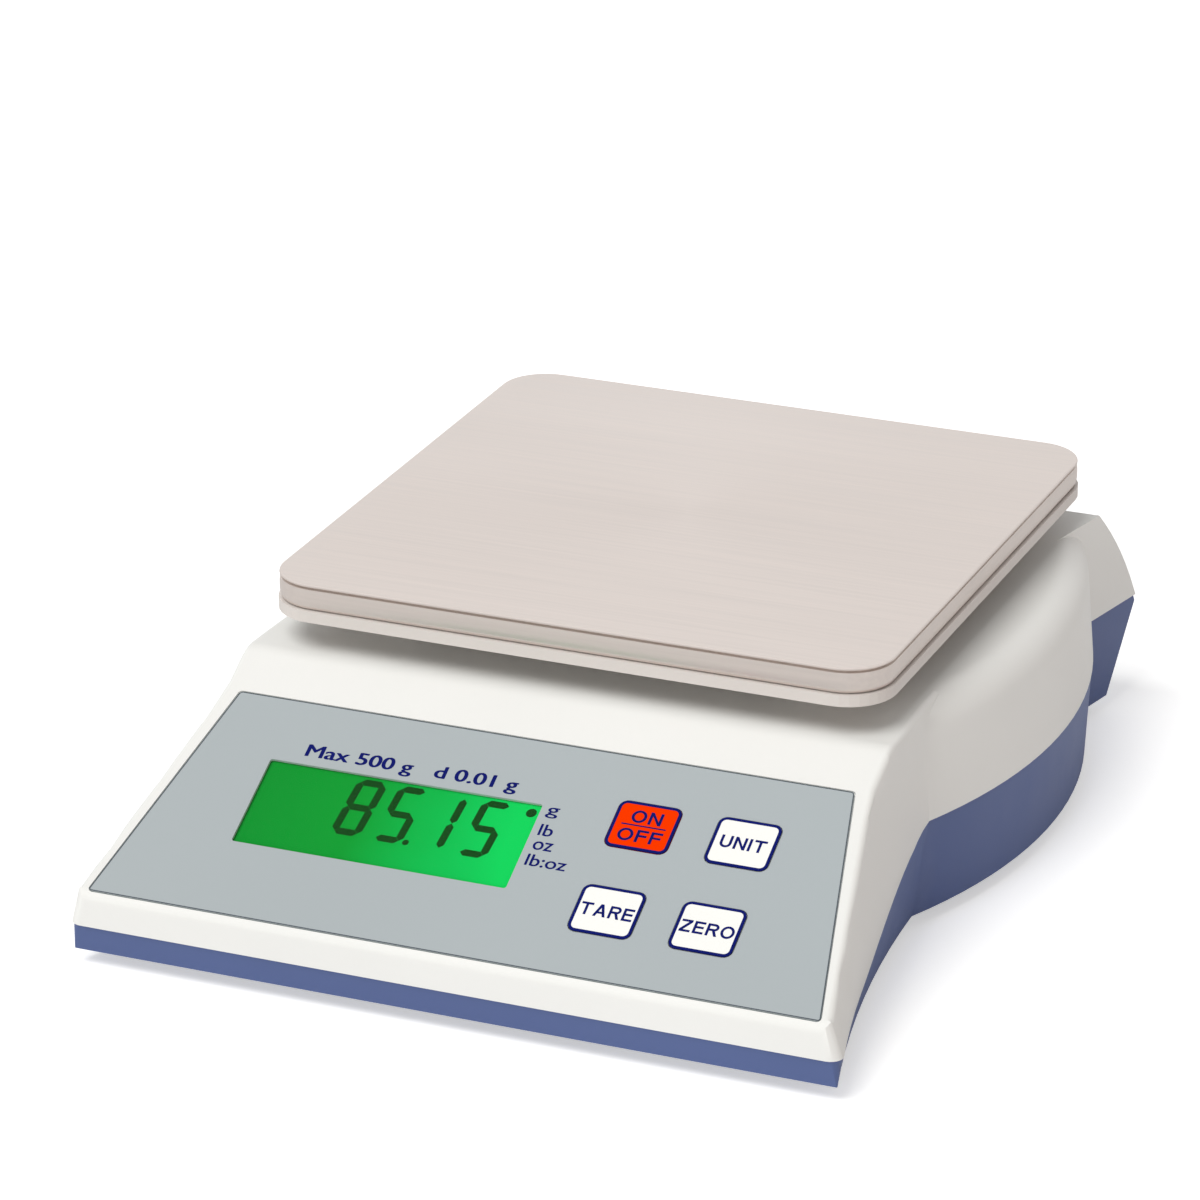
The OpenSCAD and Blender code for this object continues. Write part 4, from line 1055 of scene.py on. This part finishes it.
@dataclass
class Display:
    """The display: window, glass with its digits, light guide and frame."""

    margin: float = 1.2 * MM
    corner: float = 1.2 * MM
    # the panes' backs and fronts, out of the slope
    cover: tuple[float, float] = (-0.85 * MM, -0.6 * MM)
    face: tuple[float, float] = (-1.6 * MM, -0.9 * MM)
    digit_h: float = 15.6 * MM
    digit_w: float = 7.1 * MM
    stroke: float = 1.75 * MM
    gap: float = 0.06 * MM
    slant: float = 0.073
    low_v: float = 26.5 * MM
    digits: tuple[tuple[str, float], ...] = (("8", -33.7), ("5", -23.9), ("1", -14.5), ("5", -4.1))
    # the decimal point and the unit's mark: across, up and radius
    dots: tuple[Point, ...] = ((-19.5, 27.3, 0.75), (4.0, 40.6, 1.2))

    def bar(self, bm: Mesh, x: float, y: float, length: float, upright: bool) -> None:
        """Adds one segment of a digit: a six-sided bar with a tip at each end.

        Args:
            bm: The mesh of all digits, flat.
            x: Centre across.
            y: Centre up.
            length: Its length.
            upright: Whether it stands.
        """
        made = bmesh.ops.create_circle(bm, cap_ends=True, segments=6, radius=length / 2)["verts"]
        half, inner = self.stroke / 2, length / 2 - self.stroke / 2
        for vert in made:
            if abs(vert.co.x) > length / 5:
                vert.co.x = math.copysign(half, vert.co.x)
                vert.co.y = math.copysign(inner, vert.co.y)
        turn = Matrix.Rotation(0.0 if upright else math.pi / 2, 4, "Z")
        bmesh.ops.transform(bm, matrix=Matrix.Translation((x, y, 0)) @ turn, verts=made)

    def digit(self, bm: Mesh, figure: str, u: float) -> None:
        """Adds a figure of seven segments.

        Args:
            bm: The mesh of all digits, flat.
            figure: The figure.
            u: Its centre across.
        """
        w, h = self.digit_w - self.stroke, self.digit_h - self.stroke
        across, tall = w - self.gap, h / 2 - self.gap
        bottom = self.low_v + self.stroke / 2
        places = {
            "a": (0, h, across, False), "g": (0, h / 2, across, False), "d": (0, 0, across, False),
            "b": (w / 2, h * 0.75, tall, True), "c": (w / 2, h * 0.25, tall, True),
            "f": (-w / 2, h * 0.75, tall, True), "e": (-w / 2, h * 0.25, tall, True),
        }
        for key in SEGMENTS[figure]:
            x, y, length, upright = places[key]
            self.bar(bm, u + x, bottom + y, length, upright)

    def pane(self, name: str, finish: Finish, depths: tuple[float, float],
             stands_for: tuple[str, ...] = ()) -> None:
        """Makes a flat pane that fills the display's pocket behind the faceplate.

        Args:
            name: The piece's name.
            finish: Its finish.
            depths: Its back and front, out of the slope.
            stands_for: The nodes that it replaces.
        """
        width, height = (size + 2 * self.margin for size in WINDOW_SIZE)
        bm = raise_flat(rounded_flat(width, height, self.corner + self.margin), depths[1] - depths[0])
        dress(name, SLOPE.lay(bm, *WINDOW_AT, depths[0]), finish, "housing", stands_for, 25.0)

    def build(self) -> None:
        """Dresses the display and draws its digits."""
        paint(lcd_glass=Finish.LCD, lcd_backlight=Finish.LIGHT_GUIDE, lcd_frame=Finish.DARK_PLASTIC,
              display_board=Finish.BOARD, display_board_screws=Finish.ZINC, display_ribbon=Finish.RIBBON)
        self.pane("window_cover", Finish.WINDOW, self.cover, ("display_window",))
        self.pane("lcd_face", Finish.LCD, self.face)
        bm = bmesh.new()
        for figure, u in self.digits:
            self.digit(bm, figure, u * MM)
        for u, v, radius in self.dots:
            made = bmesh.ops.create_circle(bm, cap_ends=True, segments=12, radius=radius * MM)["verts"]
            bmesh.ops.translate(bm, verts=made, vec=(u * MM, v * MM, 0))
        for vert in bm.verts:
            vert.co.x += self.slant * (vert.co.y - self.low_v - self.digit_h / 2)
        raise_flat(bm, PRINT)
        dress("display_digits", SLOPE.lay(bm, 0.0, 0.0, self.face[1]), Finish.LCD_MARK, "housing",
              smooth=20.0)


@dataclass(frozen=True)
class Key:
    """One key: its cap, border and legend."""

    name: str
    body: str
    u: float
    v: float
    finish: Finish
    slot: str
    # each word with its height over the key's centre, its width and its letters' height
    words: tuple[tuple[str, float, float, float], ...]


@dataclass
class Keypad:
    """The four keys."""

    width: float = 14.2 * MM
    height: float = 12.5 * MM
    radius: float = 1.8 * MM
    border: float = 0.64 * MM
    skirt: float = 0.3 * MM
    proud: float = 0.15 * MM
    lowered: float = 0.35 * MM
    # the line between the first key's words: width, height and corner, and its height over the key's centre
    rule: Point = (10.2 * MM, 0.35 * MM, 0.1 * MM)
    rule_up: float = 0.1 * MM
    keys: tuple[Key, ...] = (
        Key("on_off", "on_off_key", 30.4, 41.15, Finish.KEY_ORANGE, "key_orange",
            (("ON", 0.8, 7.0, 3.4), ("OFF", -4.3, 10.0, 3.4))),
        Key("unit", "unit_key", 53.2, 41.15, Finish.KEY_WHITE, "key_white", (("UNIT", -1.7, 10.3, 3.3),)),
        Key("tare", "tare_key", 30.4, 17.85, Finish.KEY_WHITE, "key_white", (("TARE", -1.7, 12.0, 3.3),)),
        Key("zero", "zero_key", 53.2, 17.85, Finish.KEY_WHITE, "key_white", (("ZERO", -1.7, 12.1, 3.3),)),
    )

    def cap(self, key: Key) -> None:
        """Makes a key's cap, lowered until it is nearly flush with the faceplate.

        Args:
            key: The key.
        """
        bm = merged("key_" + key.name)
        back = SLOPE.matrix().inverted()
        down = (SLOPE.matrix().to_3x3() @ Vector((0, 0, -1))) * self.lowered
        for vert in bm.verts:
            if (back @ vert.co).z > self.proud:
                vert.co += down
        dress("cap_" + key.name, bm, key.finish, key.body, ("key_" + key.name,), 25.0)

    def build(self) -> None:
        """Dresses each key."""
        for key in self.keys:
            self.cap(key)
            paint(**{"plunger_" + key.name: Finish.BLACK_PLASTIC})
            u, v = key.u * MM, key.v * MM
            edge = outline(rounded_flat(self.width + PRINT, self.height + PRINT, self.radius), self.border,
                           PRINT + self.skirt)
            dress("border_" + key.name, SLOPE.lay(edge, u, v, self.proud - self.skirt), Finish.NAVY, key.body,
                  smooth=20.0)
            for words, up, width, height in key.words:
                Legend(f"legend_{key.name}_{words}", words, u, v + up * MM, height * MM, width * MM,
                       drawn=True).build(self.proud, Finish.NAVY, key.body, key.slot)
        key = self.keys[0]
        line = SLOPE.lay(raise_flat(rounded_flat(*self.rule), PRINT), key.u * MM, key.v * MM + self.rule_up,
                         self.proud)
        dress("legend_on_off_line", line, Finish.NAVY, key.body, smooth=20.0)
        paint(tact_switches=Finish.SWITCH)


@dataclass
class Pan:
    """The steel pan, its support and its pads."""

    centre_y: float = 24.5 * MM
    width: float = 145 * MM
    depth: float = 147 * MM
    corner: float = 11 * MM
    edge_round: float = 0.4 * MM
    # height above the bench and how far the side lies inside the pan's outline there
    side: tuple[tuple[float, float], ...] = (
        (67.4, 0.0), (67.25, 0.75), (66.95, 0.8), (66.7, 0.1), (65.8, 0.03), (64.6, 0.0), (63.3, 0.05), (62.55, 0.18))
    hem: tuple[float, float] = (62.0, 0.5)

    def inward(self, point: Vector) -> Vector | None:
        """Finds the way in from the pan's outline.

        Args:
            point: A point of the mesh.

        Returns:
            The unit vector inwards, or nothing where the point isn't on the outline.
        """
        x, y = point.x, point.y - self.centre_y
        past_x, past_y = abs(x) - self.width / 2 + self.corner, abs(y) - self.depth / 2 + self.corner
        out = Vector((max(past_x, 0.0), max(past_y, 0.0), 0))
        if abs(out.length - self.corner) > 3 * NEAR:
            return None
        out.x, out.y = math.copysign(out.x, x), math.copysign(out.y, y)
        return -out.normalized()

    def build(self) -> None:
        """Makes the pan with its pressed side, and dresses the rest."""
        bm = merged("weighing_pan", corner=0.2)
        top = max(v.co.z for v in bm.verts)
        for height, _ in self.side:
            cut(bm, (0, 0, height * MM), (0, 0, 1))
        moves = []
        for vert in bm.verts:
            way = self.inward(vert.co)
            for height, depth in (*self.side, self.hem):
                if way is not None and abs(vert.co.z - height * MM) < NEAR:
                    moves.append((vert, way * depth * MM))
        rim = [e for e in sharp(bm) if all(v.co.z > top - NEAR for v in e.verts)]
        for vert, move in moves:
            vert.co += move
        soften(bm, rim, self.edge_round, segments=4)
        dress("pan_sheet", bm, Finish.PAN, "pan", ("weighing_pan",), smooth=50.0)
        paint(pan_support=Finish.SUPPORT, pan_support_screws=Finish.ZINC, pan_pads=Finish.RUBBER,
              carrier=Finish.CAST, carrier_screws=Finish.DARK_STEEL, support_posts=Finish.BAR,
              level_cup=Finish.WHITE_SHELL, level_window=Finish.LEVEL)


@dataclass
class Feet:
    """The four levelling feet."""

    places: tuple[str, ...] = ("front_left", "front_right", "rear_left", "rear_right")

    def build(self) -> None:
        """Dresses the feet."""
        for place in self.places:
            paint(**{"stud_" + place: Finish.ZINC, "wheel_" + place: Finish.DARK_PLASTIC,
                     "sole_" + place: Finish.RUBBER})
        paint(foot_inserts=Finish.BRASS)


@dataclass
class Works:
    """Load cell, boards, battery and power socket."""

    # piece, the node that it replaces, its finish and slot
    bending: tuple[tuple[str, str, Finish, str], ...] = (
        ("cell_beam", "load_cell", Finish.BAR, "aluminium_bar"),
        ("cell_coating", "gauge_coating", Finish.COATING, "silicone_white"),
    )
    # the beam bends between its joined holes, this far to both sides of the middle
    bend: float = 16 * MM
    bend_steps: int = 6
    beam_y: float = 24.5 * MM
    beam_z: float = 25 * MM

    def beam(self, name: str, node: str, finish: Finish, slot: str) -> None:
        """Makes a piece of the load cell, cut across its middle into strips and baked in place.

        Args:
            name: The piece's name.
            node: The node that it replaces.
            finish: Its finish.
            slot: Not used.
        """
        bm = merged(node)
        for i in range(self.bend_steps + 1):
            cut(bm, (between(-self.bend, self.bend, i / self.bend_steps), 0, 0), (1, 0, 0))
        ends = tuple(Vector((x, self.beam_y, self.beam_z)) for x in (-self.bend, self.bend))
        dress(name, bm, finish, "housing", (node,), bends=ends)

    def build(self) -> None:
        """Dresses the inner parts."""
        paint(cell_block=Finish.BAR, cell_screws=Finish.DARK_STEEL, cell_cable=Finish.CABLE_GREY,
              overload_stop=Finish.DARK_STEEL, overload_nut=Finish.ZINC, main_board=Finish.BOARD,
              main_board_parts=Finish.BLACK_PLASTIC, adc_shield=Finish.ZINC, main_board_screws=Finish.ZINC,
              batteries=Finish.JACKET, battery_contacts=Finish.SPRING, battery_leads=Finish.CABLE_GREY,
              power_socket=Finish.BLACK_PLASTIC, power_leads=Finish.CABLE_RED)
        for row in self.bending:
            self.beam(*row)


@dataclass
class Studio:
    """Camera, light, floor and background."""

    place: Point = (448.5, -1123.8, 549.6)
    azimuth: float = 22.27
    elevation: float = 22.22
    focal_px: float = 5794.0
    frame_px: float = 1200.0
    sensor: float = 36.0
    clip: tuple[float, float] = (0.05, 50.0)
    ambient: float = 0.3
    floor_size: float = 6.0
    floor_tone: float = 0.9
    floor_glow: float = 0.48
    # name, strength, the way it shines, spread in degrees, colour
    suns: tuple[tuple[str, float, Point, float, Colour], ...] = (
        ("key", 1.72, (0.25, 0.42, -0.87), 40, (1.0, 1.0, 0.985)),
        ("front", 0.75, (0.12, 0.97, -0.18), 30, (1.0, 0.99, 0.97)),
        ("right", 0.26, (-0.96, 0.1, -0.2), 40, (1.0, 0.66, 0.5)),
    )

    def camera(self) -> None:
        """Sets the camera where the photograph was taken from."""
        data = bpy.data.cameras.new("view")
        data.sensor_width = self.sensor
        data.lens = self.sensor * self.focal_px / self.frame_px
        data.clip_start, data.clip_end = self.clip
        camera = placed("view", data)
        a, e = math.radians(self.azimuth), math.radians(self.elevation)
        back = Vector((math.sin(a) * math.cos(e), -math.cos(a) * math.cos(e), math.sin(e)))
        camera.location = Vector(self.place) * MM
        camera.rotation_euler = (-back).to_track_quat("-Z", "Y").to_euler()
        bpy.context.scene.camera = camera

    def lights(self) -> None:
        """Adds the soft lights."""
        for name, strength, way, spread, colour in self.suns:
            data = bpy.data.lights.new(name, "SUN")
            data.energy = strength
            data.angle = math.radians(spread)
            data.color = colour
            lamp = placed(name, data)
            lamp.visible_glossy = False
            lamp.rotation_euler = Vector(way).to_track_quat("-Z", "Y").to_euler()

    def world(self) -> None:
        """Makes the world white to the camera, in reflections and through glass, and softer as light."""
        world = bpy.data.worlds.new("studio")
        bpy.context.scene.world = world
        world.use_nodes = True
        n = Tree(world.node_tree)
        path = n.add("LightPath")
        seen = n.join("Math", path.outputs["Is Camera Ray"], path.outputs["Is Glossy Ray"], operation="MAXIMUM")
        either = n.join("Math", seen, path.outputs["Is Transmission Ray"], operation="MAXIMUM")
        background = world.node_tree.nodes["Background"]
        background.inputs["Color"].default_value = (1, 1, 1, 1)
        n.link(n.join("MapRange", either, To_Min=self.ambient, To_Max=1.0), background.inputs["Strength"])

    def floor(self) -> None:
        """Adds a pale floor that keeps the object's shadow and is clear from below."""
        bm = bmesh.new()
        bmesh.ops.create_grid(bm, x_segments=1, y_segments=1, size=self.floor_size)
        mesh = bpy.data.meshes.new("floor")
        bm.to_mesh(mesh)
        bm.free()
        floor = placed("floor", mesh)
        n = Nodes("floor_paper")
        n.fix(Base_Color=shade((1.0, 1.0, 1.0), self.floor_tone), Roughness=0.9, Specular_IOR_Level=0.0)
        paper = n.shader.outputs[0]
        lit = n.join("AddShader", paper, n.join("Emission", Strength=self.floor_glow))
        above = n.join("MixShader", n.add("LightPath").outputs["Is Camera Ray"], paper, lit)
        backs = n.add("NewGeometry").outputs["Backfacing"]
        n.link(n.join("MixShader", backs, above, n.join("BsdfTransparent")), n.output.inputs["Surface"])
        mesh.materials.append(n.material)

    def build(self) -> None:
        """Builds the studio."""
        scene = bpy.context.scene
        scene.view_settings.view_transform = "Standard"
        self.camera()
        self.lights()
        self.world()
        self.floor()


def main() -> None:
    """Builds the studio and every sub-assembly."""
    logging.basicConfig(level=logging.INFO, format="%(message)s")
    for part in (Studio(), Shells(), Faceplate(), Display(), Keypad(), Pan(), Feet(), Works()):
        LOG.info("building %s", type(part).__name__)
        part.build()


if __name__ == "__main__":
    main()
